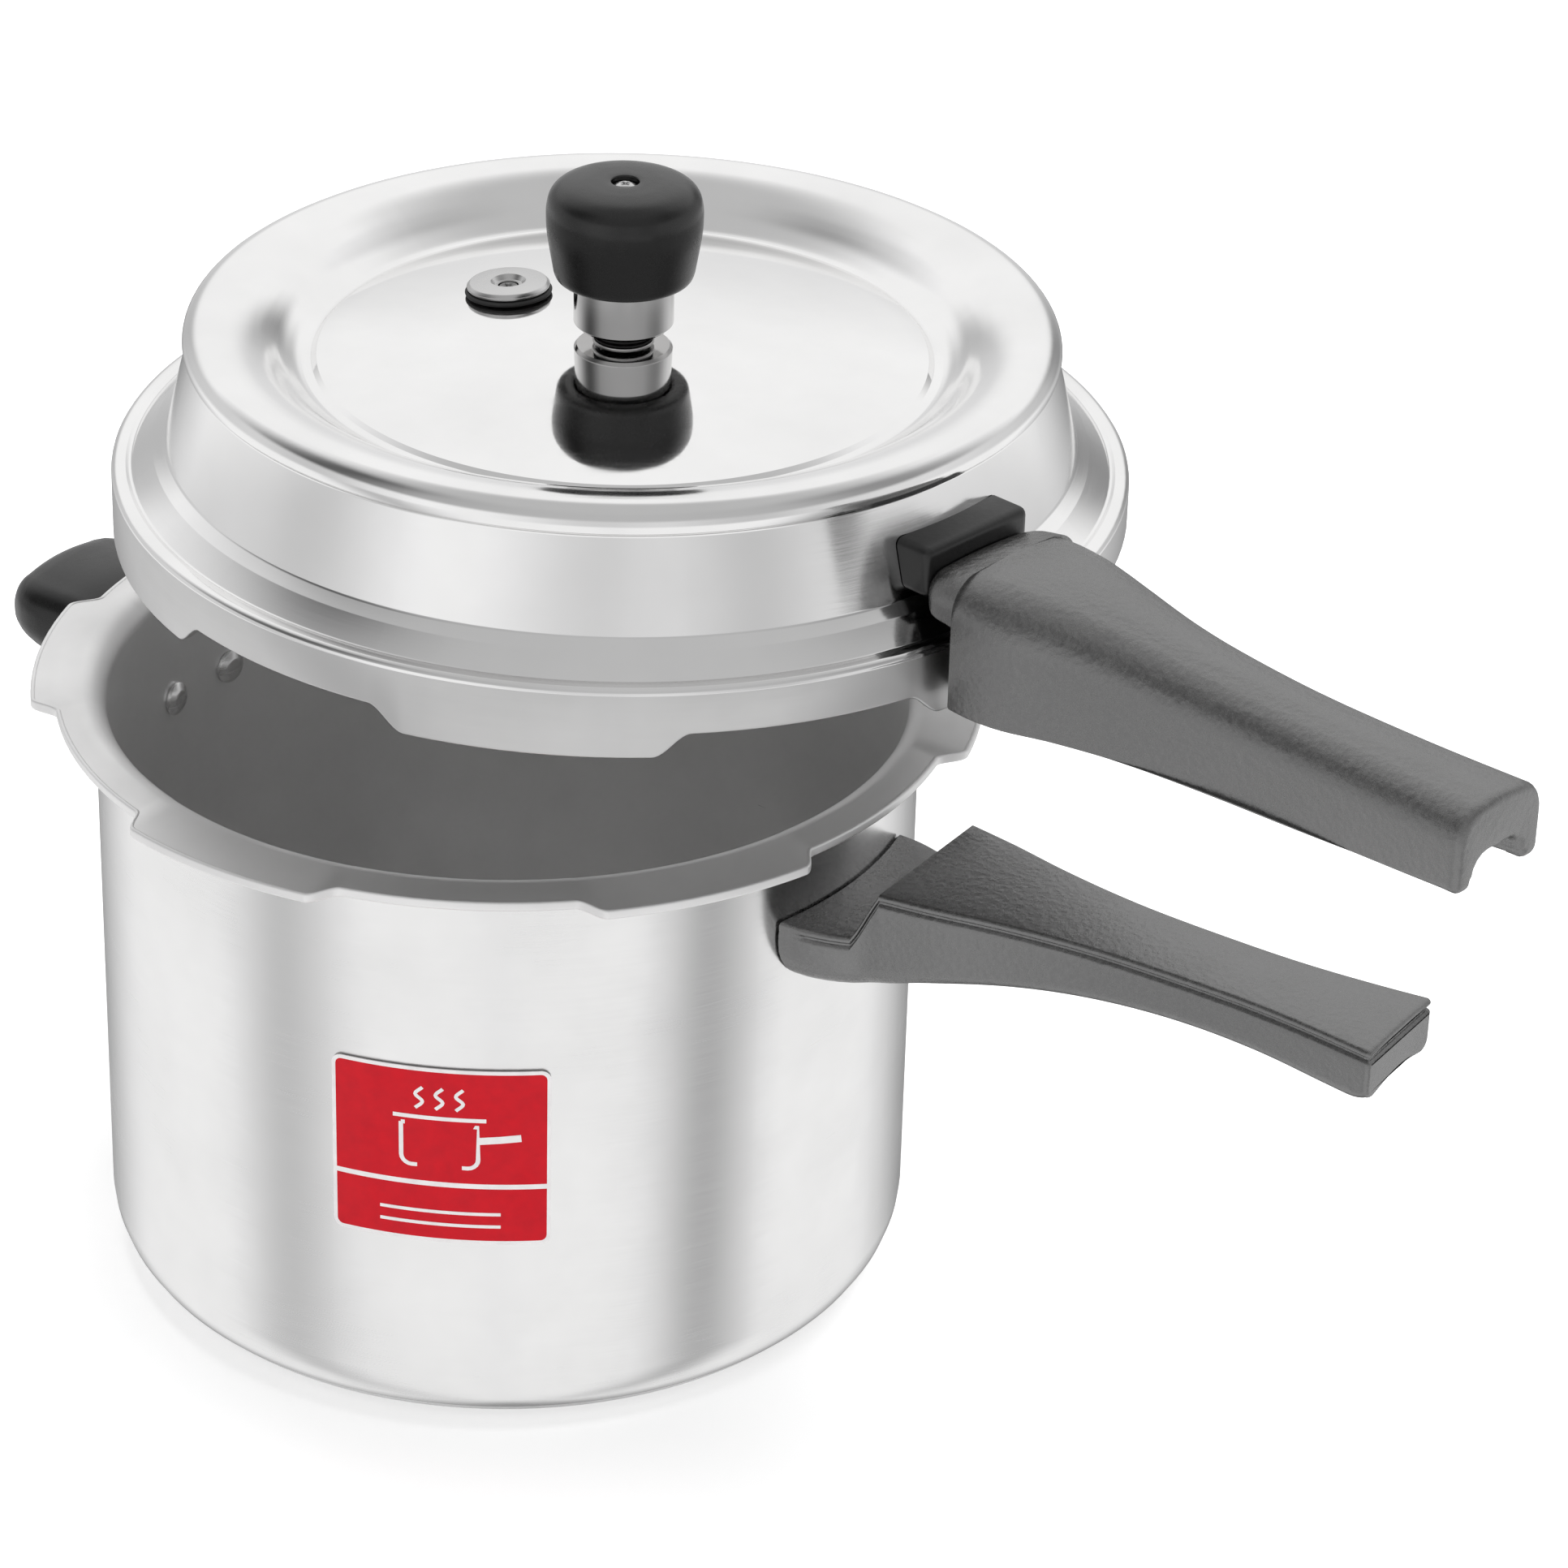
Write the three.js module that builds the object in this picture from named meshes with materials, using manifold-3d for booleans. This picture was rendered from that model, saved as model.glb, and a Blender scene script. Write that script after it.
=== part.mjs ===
// Stovetop pressure cooker: an aluminium pot with a turn-and-lock outer lid, a weight regulator
// and bakelite handles. Millimetres, +Z up. The origin is the centre of the pot's flat base and
// +X runs along the pot's long handle. The lid is modelled lifted off the pot and a little aside.
import * as THREE from "three";
import { mergeVertices } from "three/addons/utils/BufferGeometryUtils.js";
import Module from "manifold-3d";

const wasm = await Module();
wasm.setup();

const RADIANS = Math.PI / 180;
const FIT_GAP = 0.3; // clearance between neighbours that touch

// --- Driving dimensions: pot ---
const POT_RADIUS = 105;
const POT_WALL = 3;
const POT_BASE_THICKNESS = 4;
const POT_CORNER_RADIUS = 20;
const RIM_HEIGHT = 163; // top face of the flange above the base
const FLANGE_THICKNESS = 4.1;
const FLANGE_RADIUS = 115;
const LIP_RADIUS = 108.5; // where the flange's flat top meets the rolled mouth
const LUG_RADIUS = 121;
const LUG_COUNT = 6;
const LUG_HALF_ANGLE = 13;
const LUG_RAMP_ANGLE = 2.5;
const FIRST_LUG_ANGLE = 30; // the long handle stands midway between two lugs

// --- Driving dimensions: lid, in its own frame (z = 0 at the skirt's edge between the tabs) ---
const SKIRT_RADIUS = 125.4;
const LID_WALL = 2.5;
const SHOULDER_RADIUS = 123.6;
const SHOULDER_HEIGHT = 11.2;
const CROWN_BASE_RADIUS = 112.2;
const CROWN_BASE_HEIGHT = 18.2;
const CROWN_NECK_RADIUS = 106.4; // the wall leans in up to here, under the rolled top edge
const CROWN_NECK_HEIGHT = 41.6;
const CROWN_RADIUS = 107.3;
const CROWN_HEIGHT = 48.5;
const PLATE_RADIUS = 75.3; // the domed plate sunk inside the crown
const PLATE_EDGE_HEIGHT = 39;
const PLATE_HEIGHT = 44; // at the plate's centre
const TAB_DROP = 5.9; // how far the tabs hang below the skirt's edge
const TAB_THICKNESS = 2.8;
const TAB_INNER_RADIUS = 117.2;
const TAB_HALF_ANGLE = 13.5;
const TAB_HOOK_HALF_ANGLE = 11;
const TAB_RAMP_ANGLE = 4;
const TAB_OFFSET_ANGLE = 5; // the tabs' ring is turned this far from the lid's handle

// --- Driving dimensions: the lid's place above the pot ---
const LID_CLOSED_HEIGHT = 161.2;
const LID_SHIFT = new THREE.Vector3(29.2, 7.1, 57.2); // from closed to held above the pot
const LID_ANGLE = -10; // the lid's handle against the pot's handle

const RING_SEGMENTS = 48;

const POLISHED = { color: 0xe2e2e4, roughness: 0.12, metalness: 1 };
const SATIN = { color: 0xd2d2d4, roughness: 0.35, metalness: 1 };
const CHROME = { color: 0xe8e8ea, roughness: 0.08, metalness: 1 };
const STEEL = { color: 0xb8babd, roughness: 0.3, metalness: 1 };
const BAKELITE = { color: 0x56524f, roughness: 0.62, metalness: 0 };
const BLACK_BAKELITE = { color: 0x1d1c1c, roughness: 0.45, metalness: 0 };
const BLACK_PAINT = { color: 0x141414, roughness: 0.4, metalness: 0.2 };
const RUBBER = { color: 0x232325, roughness: 0.8, metalness: 0 };
const LEAD_ALLOY = { color: 0x8c8e90, roughness: 0.6, metalness: 1 };
const LABEL_RED = { color: 0xb01e28, roughness: 0.4, metalness: 0 };

// --- Solids and meshes ---

function toSolid(geometry) {
  geometry.deleteAttribute("normal");
  geometry.deleteAttribute("uv");
  const merged = mergeVertices(geometry, 1e-4);
  const solid = new wasm.Manifold(
    new wasm.Mesh({
      numProp: 3,
      vertProperties: merged.attributes.position.array,
      triVerts: new Uint32Array(merged.index.array),
    }),
  );
  return solid;
}

function toMesh(name, solid, look) {
  const { vertProperties, triVerts } = solid.getMesh();
  const geometry = new THREE.BufferGeometry();
  geometry.setAttribute("position", new THREE.BufferAttribute(vertProperties, 3));
  geometry.setIndex(new THREE.BufferAttribute(triVerts, 1));
  geometry.computeVertexNormals();
  const mesh = new THREE.Mesh(geometry, new THREE.MeshStandardMaterial(look));
  mesh.name = name;
  return mesh;
}

// A closed outline of [radius, height] points, turned about the Z axis.
function revolve(outline, segments = RING_SEGMENTS) {
  const points = outline.map(([radius, height]) => new THREE.Vector2(radius, height));
  if (THREE.ShapeUtils.area(points) < 0) points.reverse();
  const onAxis = points[0].x === 0 && points[points.length - 1].x === 0;
  if (!onAxis) points.push(points[0].clone());
  const geometry = new THREE.LatheGeometry(points, segments);
  geometry.rotateX(Math.PI / 2);
  return toSolid(geometry);
}

// An upright prism: an outline of [x, y] points between two heights.
function prism(outline, bottom, top) {
  const shape = new THREE.Shape(outline.map(([x, y]) => new THREE.Vector2(x, y)));
  const geometry = new THREE.ExtrudeGeometry(shape, { depth: top - bottom, bevelEnabled: false });
  geometry.translate(0, 0, bottom);
  return toSolid(geometry);
}

// A side profile: an outline of [x, z] points, as thick as width across Y.
function sideProfile(outline, width) {
  const shape = new THREE.Shape(outline.map(([x, z]) => new THREE.Vector2(x, z)));
  const geometry = new THREE.ExtrudeGeometry(shape, { depth: width, bevelEnabled: false });
  geometry.rotateX(Math.PI / 2);
  geometry.translate(0, width / 2, 0);
  return toSolid(geometry);
}

// A prism along X: an outline of [y, z] points between two X positions.
function endProfile(outline, from, to) {
  const shape = new THREE.Shape(outline.map(([y, z]) => new THREE.Vector2(y, z)));
  const geometry = new THREE.ExtrudeGeometry(shape, { depth: to - from, bevelEnabled: false });
  geometry.rotateX(Math.PI / 2);
  geometry.rotateZ(Math.PI / 2);
  geometry.translate(from, 0, 0);
  return toSolid(geometry);
}

function rod(radius, bottom, top, segments = 24) {
  const geometry = new THREE.CylinderGeometry(radius, radius, top - bottom, segments);
  geometry.rotateX(Math.PI / 2);
  geometry.translate(0, 0, (top + bottom) / 2);
  return toSolid(geometry);
}

function box(x0, x1, halfWidth, bottom, top) {
  const geometry = new THREE.BoxGeometry(x1 - x0, 2 * halfWidth, top - bottom);
  geometry.translate((x0 + x1) / 2, 0, (bottom + top) / 2);
  return toSolid(geometry);
}

// Points on a circle arc in the outline's plane, angles in degrees.
function arc(centreX, centreY, radius, from, to, steps) {
  const points = [];
  for (let i = 0; i <= steps; i += 1) {
    const angle = (from + ((to - from) * i) / steps) * RADIANS;
    points.push([centreX + radius * Math.cos(angle), centreY + radius * Math.sin(angle)]);
  }
  return points;
}

// A ring sector in plan, between two radii; its inner edge can be wider by a ramp at each end.
function sector(inner, outer, halfAngle, bottom, top, ramp = 0, steps = 6) {
  const outline = [
    ...arc(0, 0, outer, -halfAngle, halfAngle, steps),
    ...arc(0, 0, inner, halfAngle + ramp, -halfAngle - ramp, steps),
  ];
  return prism(outline, bottom, top);
}

// A smooth curve through a few [x, value] points, sampled into an outline's edge.
function smoothEdge(points, samples) {
  const curve = new THREE.SplineCurve(points.map(([x, y]) => new THREE.Vector2(x, y)));
  return curve.getPoints(samples).map((point) => [point.x, point.y]);
}

// The plan of a handle that is symmetrical about the X axis, from its half-widths.
function symmetricPlan(halfWidths, samples) {
  const edge = smoothEdge(halfWidths, samples);
  const mirrored = edge.map(([x, y]) => [x, -y]);
  return [...mirrored, ...edge.reverse()];
}

function turned(solid, angle) {
  return solid.rotate([0, 0, angle]);
}

// --- Fasteners ---

const RIVET = { shank: 2.4, headRadius: 4.6, headHeight: 2.2 };

// A domed rivet along +X: its head's flat face at x = face, its shank running to x = tail.
function rivetSolid(face, tail) {
  const { shank, headRadius, headHeight } = RIVET;
  const sphere = (headRadius ** 2 + headHeight ** 2) / (2 * headHeight);
  const edgeAngle = Math.asin(headRadius / sphere) / RADIANS;
  const dome = arc(0, sphere - headHeight, sphere, -90, -90 + edgeAngle, 3);
  const outline = [...dome, [shank, 0], [shank, tail - face], [0, tail - face]];
  outline[0][0] = 0;
  return revolve(outline, 12).rotate([0, 90, 0]).translate([face, 0, 0]);
}

function rivetHole(from, to) {
  return rod(RIVET.shank + FIT_GAP, from, to, 16).rotate([0, 90, 0]);
}

const SCREW = { shank: 2, headRadius: 4, headHeight: 2.4, slotHalfWidth: 0.45, slotReach: 2.4, slotDepth: 1.2 };

// A pan-head screw that points up, with a cross recess in its head; z = 0 under the head.
function screwSolid(length) {
  const { shank, headRadius, headHeight, slotHalfWidth, slotReach, slotDepth } = SCREW;
  const outline = [
    [0, -headHeight], [headRadius - 1, -headHeight], [headRadius, 1 - headHeight], [headRadius, 0],
    [shank, 0], [shank, length], [0, length],
  ];
  const slot = box(-slotReach, slotReach, slotHalfWidth, -headHeight - 1, slotDepth - headHeight);
  return revolve(outline, 14).subtract(slot).subtract(turned(slot, 90));
}

// Cuts a screw's hole up to z = top, and the counterbore for its head up to z = headSeat.
function screwHole(from, headSeat, top) {
  const hole = rod(SCREW.shank + FIT_GAP, from, top, 16);
  return hole.add(rod(SCREW.headRadius + FIT_GAP, from, headSeat, 20));
}

// A hexagon nut about the Z axis, with a plain bore.
function nutSolid(acrossCorners, bore, bottom, top) {
  return rod(acrossCorners / 2, bottom, top, 6).subtract(rod(bore, bottom - 1, top + 1, 24));
}

// --- Pot ---

const RIVET_ANGLE = 6.4; // each rivet's turn from its handle's centre line
const BRACKET_HALF_ANGLE = 11;
const BRACKET_PLATE = 2.4;
const BRACKET_HEIGHT = 127.6; // middle of both pot brackets
const BRACKET_HALF_HEIGHT = 7;
const TONGUE = { middle: 133, halfHeight: 2, halfWidth: 8, headSeat: 129 };
const BELOW_HANDLES = 90; // heights clear of both pot handles, where their blanks and cuts start and end
const ABOVE_HANDLES = 180;

function potShell() {
  const inner = POT_RADIUS - POT_WALL;
  const corner = POT_RADIUS - POT_CORNER_RADIUS;
  const innerCorner = POT_CORNER_RADIUS - POT_WALL;
  const mouth = LIP_RADIUS - inner;
  const outline = [
    [0, 0],
    ...arc(corner, POT_CORNER_RADIUS, POT_CORNER_RADIUS, -90, 0, 5),
    [POT_RADIUS, RIM_HEIGHT - FLANGE_THICKNESS - 2],
    [POT_RADIUS + 2, RIM_HEIGHT - FLANGE_THICKNESS],
    [FLANGE_RADIUS, RIM_HEIGHT - FLANGE_THICKNESS],
    [FLANGE_RADIUS, RIM_HEIGHT - 0.8],
    [FLANGE_RADIUS - 0.8, RIM_HEIGHT],
    ...arc(LIP_RADIUS, RIM_HEIGHT - mouth, mouth, 90, 180, 3),
    ...arc(corner, POT_BASE_THICKNESS + innerCorner, innerCorner, 0, -90, 4),
    [0, POT_BASE_THICKNESS],
  ];
  let shell = revolve(outline);
  for (let i = 0; i < LUG_COUNT; i += 1) {
    const lug = sector(
      FLANGE_RADIUS - 4, LUG_RADIUS, LUG_HALF_ANGLE,
      RIM_HEIGHT - FLANGE_THICKNESS, RIM_HEIGHT - 0.8, LUG_RAMP_ANGLE,
    );
    shell = shell.add(turned(lug, FIRST_LUG_ANGLE + (360 / LUG_COUNT) * i));
  }
  for (const side of [0, 180]) {
    for (const lean of [-RIVET_ANGLE, RIVET_ANGLE]) {
      const hole = rivetHole(inner - 4, POT_RADIUS + 2).translate([0, 0, BRACKET_HEIGHT]);
      shell = shell.subtract(turned(hole, side + lean));
    }
  }
  return shell;
}

// A curved plate on the pot's wall with a flat tongue that the handle slides over.
function potBracket(tongueEnd, screwAt) {
  const inner = POT_RADIUS + FIT_GAP;
  const outer = inner + BRACKET_PLATE;
  const low = BRACKET_HEIGHT - BRACKET_HALF_HEIGHT;
  const high = BRACKET_HEIGHT + BRACKET_HALF_HEIGHT;
  let bracket = sector(inner, outer, BRACKET_HALF_ANGLE, low, high);
  const { middle, halfHeight, halfWidth } = TONGUE;
  bracket = bracket.add(box(outer - 1.2, tongueEnd, halfWidth, middle - halfHeight, middle + halfHeight));
  bracket = bracket.subtract(
    rod(SCREW.shank + FIT_GAP, BELOW_HANDLES, ABOVE_HANDLES, 16).translate([screwAt, 0, 0]),
  );
  for (const lean of [-RIVET_ANGLE, RIVET_ANGLE]) {
    const hole = rivetHole(POT_RADIUS - 2, outer + 2).translate([0, 0, BRACKET_HEIGHT]);
    bracket = bracket.subtract(turned(hole, lean));
  }
  return bracket;
}

// The hollow that a pot bracket fills inside its handle.
function bracketSocket(tongueEnd) {
  const outer = POT_RADIUS + BRACKET_PLATE + 2 * FIT_GAP + 0.6;
  const low = BRACKET_HEIGHT - BRACKET_HALF_HEIGHT - FIT_GAP;
  const high = BRACKET_HEIGHT + BRACKET_HALF_HEIGHT + FIT_GAP;
  const plate = sector(POT_RADIUS - 4, outer, BRACKET_HALF_ANGLE + 0.4, low, high);
  const halfHeight = TONGUE.halfHeight + FIT_GAP;
  const tongue = box(
    outer - 4, tongueEnd + FIT_GAP, TONGUE.halfWidth + FIT_GAP,
    TONGUE.middle - halfHeight, TONGUE.middle + halfHeight,
  );
  return plate.add(tongue);
}

const POT_RIVET_TAIL = POT_RADIUS + BRACKET_PLATE + 0.9;

function potRivet() {
  const face = POT_RADIUS - POT_WALL - FIT_GAP - 0.1;
  return rivetSolid(face, POT_RIVET_TAIL).translate([0, 0, BRACKET_HEIGHT]);
}

// --- Pot handle ---

const POT_HANDLE = {
  inner: 102, step: 120.4, stepTop: 127, end: 258, top: 150.5, shelf: 137, tongueEnd: 150, screwAt: 138,
};

function tongueScrewHole(screwAt) {
  return screwHole(BELOW_HANDLES, TONGUE.headSeat, TONGUE.middle).translate([screwAt, 0, 0]);
}

// Clears a pot handle from the pot's wall.
function wallClearance() {
  return rod(POT_RADIUS + FIT_GAP + 0.2, BELOW_HANDLES, ABOVE_HANDLES, RING_SEGMENTS);
}

function tongueScrew(screwAt) {
  return screwSolid(6.2).translate([screwAt, 0, TONGUE.headSeat - FIT_GAP]);
}

// The root's shape seen along the handle: wide under the shelf, with rounded lower corners.
function rootOutline() {
  const half = [[30, 165], [30, 134], [27.8, 130.5], [25, 125.5], [20.6, 120.8], [15, 117.6]];
  return [...half.map(([y, z]) => [-y, z]), ...half.reverse()];
}

function potHandle() {
  const { inner, step, stepTop, end, top, shelf, tongueEnd, screwAt } = POT_HANDLE;
  const halfWidths = [
    [inner, 28], [110, 27], [117, 25], [122, 22.8], [128, 21.8], [140, 19.8], [156, 16.4], [178, 13.2],
    [204, 12], [226, 12.2], [246, 14], [end, 15.6],
  ];
  const plan = prism(symmetricPlan(halfWidths, 22), BELOW_HANDLES, ABOVE_HANDLES);
  const belly = smoothEdge(
    [
      [end, 135.4], [246, 135.6], [226, 136.6], [204, 136.8], [180, 134.8], [158, 131.4], [138, 126.4],
      [118, 119.6], [inner, 118.2],
    ],
    16,
  );
  const side = [[inner, shelf], [step, shelf], [stepTop, top], [end - 1.5, top], [end, top - 1.5], ...belly];
  return plan
    .intersect(sideProfile(side, 60))
    .intersect(endProfile(rootOutline(), inner - 1, end + 1))
    .subtract(wallClearance())
    .subtract(bracketSocket(tongueEnd))
    .subtract(tongueScrewHole(screwAt));
}

// --- Helper handle, on the far side of the pot ---

const HELPER = {
  inner: 100, end: 154, rootHalfWidth: 24.5, halfWidth: 22, corner: 13, low: 130.5, high: 151, edgeRadius: 8,
  tongueEnd: 134, screwAt: 126,
};

function helperHandle() {
  const { inner, end, rootHalfWidth, halfWidth, corner, low, high, edgeRadius, tongueEnd, screwAt } = HELPER;
  const across = halfWidth - corner;
  const plan = [
    [inner, -rootHalfWidth], [112, -rootHalfWidth], [126, -halfWidth],
    ...arc(end - corner, -across, corner, -80, 0, 5), ...arc(end - corner, across, corner, 0, 80, 5),
    [126, halfWidth], [112, rootHalfWidth], [inner, rootHalfWidth],
  ];
  const side = [
    [inner, 119], [118, 119], [130, low - 3], [end - 5, low + 4],
    ...arc(end - edgeRadius, high - edgeRadius, edgeRadius, -10, 90, 4),
    [130, high], [114, 147], [inner, 146],
  ];
  return prism(plan, BELOW_HANDLES, ABOVE_HANDLES)
    .intersect(sideProfile(side, 70))
    .subtract(wallClearance())
    .subtract(bracketSocket(tongueEnd))
    .subtract(tongueScrewHole(screwAt));
}

// --- Front label: a thin curved sticker on the pot's wall ---

const LABEL = { angle: -63, halfAngle: 15, low: 58, high: 109, thickness: 0.4 };

function frontLabel() {
  const inner = POT_RADIUS + 0.3;
  return sector(inner, inner + LABEL.thickness, LABEL.halfAngle, LABEL.low, LABEL.high, 0, 10);
}

// --- Lid shell ---

// The domed plate's height at a radius.
function plateHeight(radius) {
  return PLATE_HEIGHT - (PLATE_HEIGHT - PLATE_EDGE_HEIGHT) * (radius / PLATE_RADIUS) ** 2;
}

// The lid's outer surface from the skirt's edge up to the centre of the plate.
function lidOuterEdge() {
  return [
    [SKIRT_RADIUS, 0],
    ...arc(SKIRT_RADIUS - 3.4, SHOULDER_HEIGHT - 2.6, 3.4, 0, 75, 2),
    [SHOULDER_RADIUS - 3, SHOULDER_HEIGHT + 0.2],
    [CROWN_BASE_RADIUS + 3, CROWN_BASE_HEIGHT - 2.2],
    [CROWN_BASE_RADIUS, CROWN_BASE_HEIGHT],
    [CROWN_NECK_RADIUS, CROWN_NECK_HEIGHT],
    ...arc(CROWN_RADIUS - 5, CROWN_HEIGHT - 5, 5, -8, 90, 3),
    [95, CROWN_HEIGHT - 0.8],
    [88.5, CROWN_HEIGHT - 3.8],
    [83.4, PLATE_EDGE_HEIGHT + 1.6],
    [79.4, PLATE_EDGE_HEIGHT - 0.6],
    ...[PLATE_RADIUS, 58, 36, 0].map((radius) => [radius, plateHeight(radius)]),
  ];
}

// The same outline one wall thickness inside.
function lidInnerEdge() {
  return [
    ...[0, 36, 58, PLATE_RADIUS].map((radius) => [radius, plateHeight(radius) - LID_WALL]),
    [80.6, PLATE_EDGE_HEIGHT - LID_WALL - 0.6],
    [85.2, PLATE_EDGE_HEIGHT - 0.4],
    [90.2, CROWN_HEIGHT - 6],
    [96, CROWN_HEIGHT - LID_WALL - 1],
    [102.4, CROWN_HEIGHT - LID_WALL],
    [CROWN_RADIUS - LID_WALL - 0.8, CROWN_HEIGHT - 7.6],
    [CROWN_BASE_RADIUS - LID_WALL, CROWN_BASE_HEIGHT - 1],
    [CROWN_BASE_RADIUS + 1.4, CROWN_BASE_HEIGHT - 4.6],
    [SHOULDER_RADIUS - 3.4, SHOULDER_HEIGHT - 2.4],
    [SKIRT_RADIUS - LID_WALL, SHOULDER_HEIGHT - 4],
    [SKIRT_RADIUS - LID_WALL, 0],
  ];
}

const VENT_RADIUS = 4;
const PLUG = { radius: 38.4, angle: -177, shank: 6 };
// The plate's slope at the plug, so that the plug stands square on the dome.
const PLUG_LEAN = Math.atan((2 * (PLATE_HEIGHT - PLATE_EDGE_HEIGHT) * PLUG.radius) / PLATE_RADIUS ** 2);

// One tab: a piece of skirt that hangs lower, with its edge turned in to hook under a lug.
function lidTab() {
  const inner = SKIRT_RADIUS - LID_WALL;
  const skirt = sector(inner, SKIRT_RADIUS, TAB_HALF_ANGLE + TAB_RAMP_ANGLE, -TAB_DROP, 0.6, 0, 8);
  const hook = sector(
    TAB_INNER_RADIUS, inner + 1, TAB_HOOK_HALF_ANGLE,
    -TAB_DROP, -TAB_DROP + TAB_THICKNESS, 0, 6,
  );
  const ramps = [-1, 1].map((side) => rampCut(side));
  return skirt.subtract(ramps[0]).subtract(ramps[1]).add(hook);
}

// The wedge that slopes a tab's end: seen from outside, in the plane across the radius.
function rampCut(side) {
  const full = SKIRT_RADIUS * Math.sin(TAB_HALF_ANGLE * RADIANS);
  const far = SKIRT_RADIUS * Math.sin((TAB_HALF_ANGLE + TAB_RAMP_ANGLE) * RADIANS);
  const outline = [
    [side * full, -TAB_DROP - 1], [side * full, -TAB_DROP],
    [side * far, 0], [side * (far + 6), 0], [side * (far + 6), -TAB_DROP - 1],
  ];
  return endProfile(outline, 100, 140);
}

const LID_BRACKET = {
  rivetAngle: 6,
  rivetHeight: 27,
  halfAngle: 9.4,
  low: 20.4,
  high: 33,
  padEnd: 117.6,
  padHalfWidth: 17,
  neckTop: 24.5,
  neckHalfWidth: 15,
};
const CROWN_LEAN =
  Math.atan((CROWN_BASE_RADIUS - CROWN_NECK_RADIUS) / (CROWN_NECK_HEIGHT - CROWN_BASE_HEIGHT)) / RADIANS;
const LID_RIVET_REACH = 5.6;

// The crown's leaning wall as a solid cone, larger than the lid by a clearance.
function crownCone(clearance) {
  return revolve([
    [0, 0], [CROWN_BASE_RADIUS + clearance, 0], [CROWN_BASE_RADIUS + clearance, CROWN_BASE_HEIGHT],
    [CROWN_NECK_RADIUS + clearance, CROWN_NECK_HEIGHT], [0, CROWN_NECK_HEIGHT],
  ]);
}

// Moves a piece that lies along +X so that it stands square on the crown's wall; x = 0 is the wall.
function ontoCrownWall(solid) {
  const drop = (LID_BRACKET.rivetHeight - CROWN_BASE_HEIGHT) * Math.tan(CROWN_LEAN * RADIANS);
  return solid.rotate([0, -CROWN_LEAN, 0]).translate([CROWN_BASE_RADIUS - drop, 0, LID_BRACKET.rivetHeight]);
}

function lidShell() {
  let shell = revolve([...lidOuterEdge(), ...lidInnerEdge()]);
  for (let i = 0; i < LUG_COUNT; i += 1) {
    shell = shell.add(turned(lidTab(), TAB_OFFSET_ANGLE + (360 / LUG_COUNT) * i));
  }
  shell = shell.subtract(rod(VENT_RADIUS + FIT_GAP, PLATE_HEIGHT - 10, PLATE_HEIGHT + 10, 24));
  const plugHole = rod(PLUG.shank + FIT_GAP, -10, 10, 24)
    .rotate([0, PLUG_LEAN / RADIANS, 0])
    .translate([PLUG.radius, 0, plateHeight(PLUG.radius)]);
  shell = shell.subtract(turned(plugHole, PLUG.angle));
  for (const lean of [-LID_BRACKET.rivetAngle, LID_BRACKET.rivetAngle]) {
    shell = shell.subtract(turned(ontoCrownWall(rivetHole(-5, 3)), lean));
  }
  return shell;
}

// --- Sealing ring under the lid's shoulder ---

function sealingRing() {
  const outline = [
    [110.4, 2.4], [121.6, 2.4], [122, 4.6], [120.4, 7.2], [117.4, 8.6],
    [114.6, 8.4], [113.8, 5.6], [110.4, 4.4],
  ];
  return revolve(outline);
}

// --- Lid handle ---

const LID_HANDLE = {
  lobe: 118, lobeFloor: 18.5, root: 129, end: 271, screwAt: 138, headSeat: 15,
  channelTop: 16, endWall: 266, notchTop: 11.4, notchHalfWidth: 8.8, notchRadius: 5,
};
const LID_TONGUE = { end: 146, halfWidth: 9 };

// A bracket on the lid's wall: a thick pad, a neck out over the shoulder with a front plate down
// to the skirt, and a tongue inside the handle.
function lidBracket() {
  const { rivetAngle, halfAngle, low, high, padEnd, padHalfWidth, neckTop, neckHalfWidth } = LID_BRACKET;
  const plate = sector(100, CROWN_BASE_RADIUS + 2.6, halfAngle, low, high);
  const pad = box(100, padEnd, padHalfWidth, low, high);
  const neckEnd = LID_HANDLE.root - 0.6;
  const neck = box(padEnd - 6, neckEnd, neckHalfWidth, low, neckTop);
  const skirtPlate = box(SKIRT_RADIUS + 0.6, neckEnd, neckHalfWidth, -1, low + 1);
  const tongue = box(neckEnd - 1, LID_TONGUE.end, LID_TONGUE.halfWidth, low, neckTop);
  let bracket = plate.add(pad).subtract(crownCone(FIT_GAP)).add(neck).add(skirtPlate).add(tongue);
  const hole = rod(SCREW.shank + FIT_GAP, low - 2, neckTop + 2, 16);
  bracket = bracket.subtract(hole.translate([LID_HANDLE.screwAt, 0, 0]));
  for (const lean of [-rivetAngle, rivetAngle]) {
    bracket = bracket.subtract(turned(ontoCrownWall(rivetHole(-2, LID_RIVET_REACH + FIT_GAP)), lean));
  }
  return bracket;
}

function lidRivet() {
  return ontoCrownWall(rivetSolid(-LID_WALL - 2 * FIT_GAP - 0.1, LID_RIVET_REACH));
}

// The arched notch where the hollow under the grip comes out through its end wall.
function endNotch() {
  const { end, endWall, notchTop, notchHalfWidth, notchRadius } = LID_HANDLE;
  const across = notchHalfWidth - notchRadius;
  const up = notchTop - notchRadius;
  const outline = [
    [notchHalfWidth, 0], ...arc(across, up, notchRadius, 0, 90, 4),
    ...arc(-across, up, notchRadius, 90, 180, 4), [-notchHalfWidth, 0],
  ];
  return endProfile(outline, endWall - 1, end + 1);
}

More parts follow.
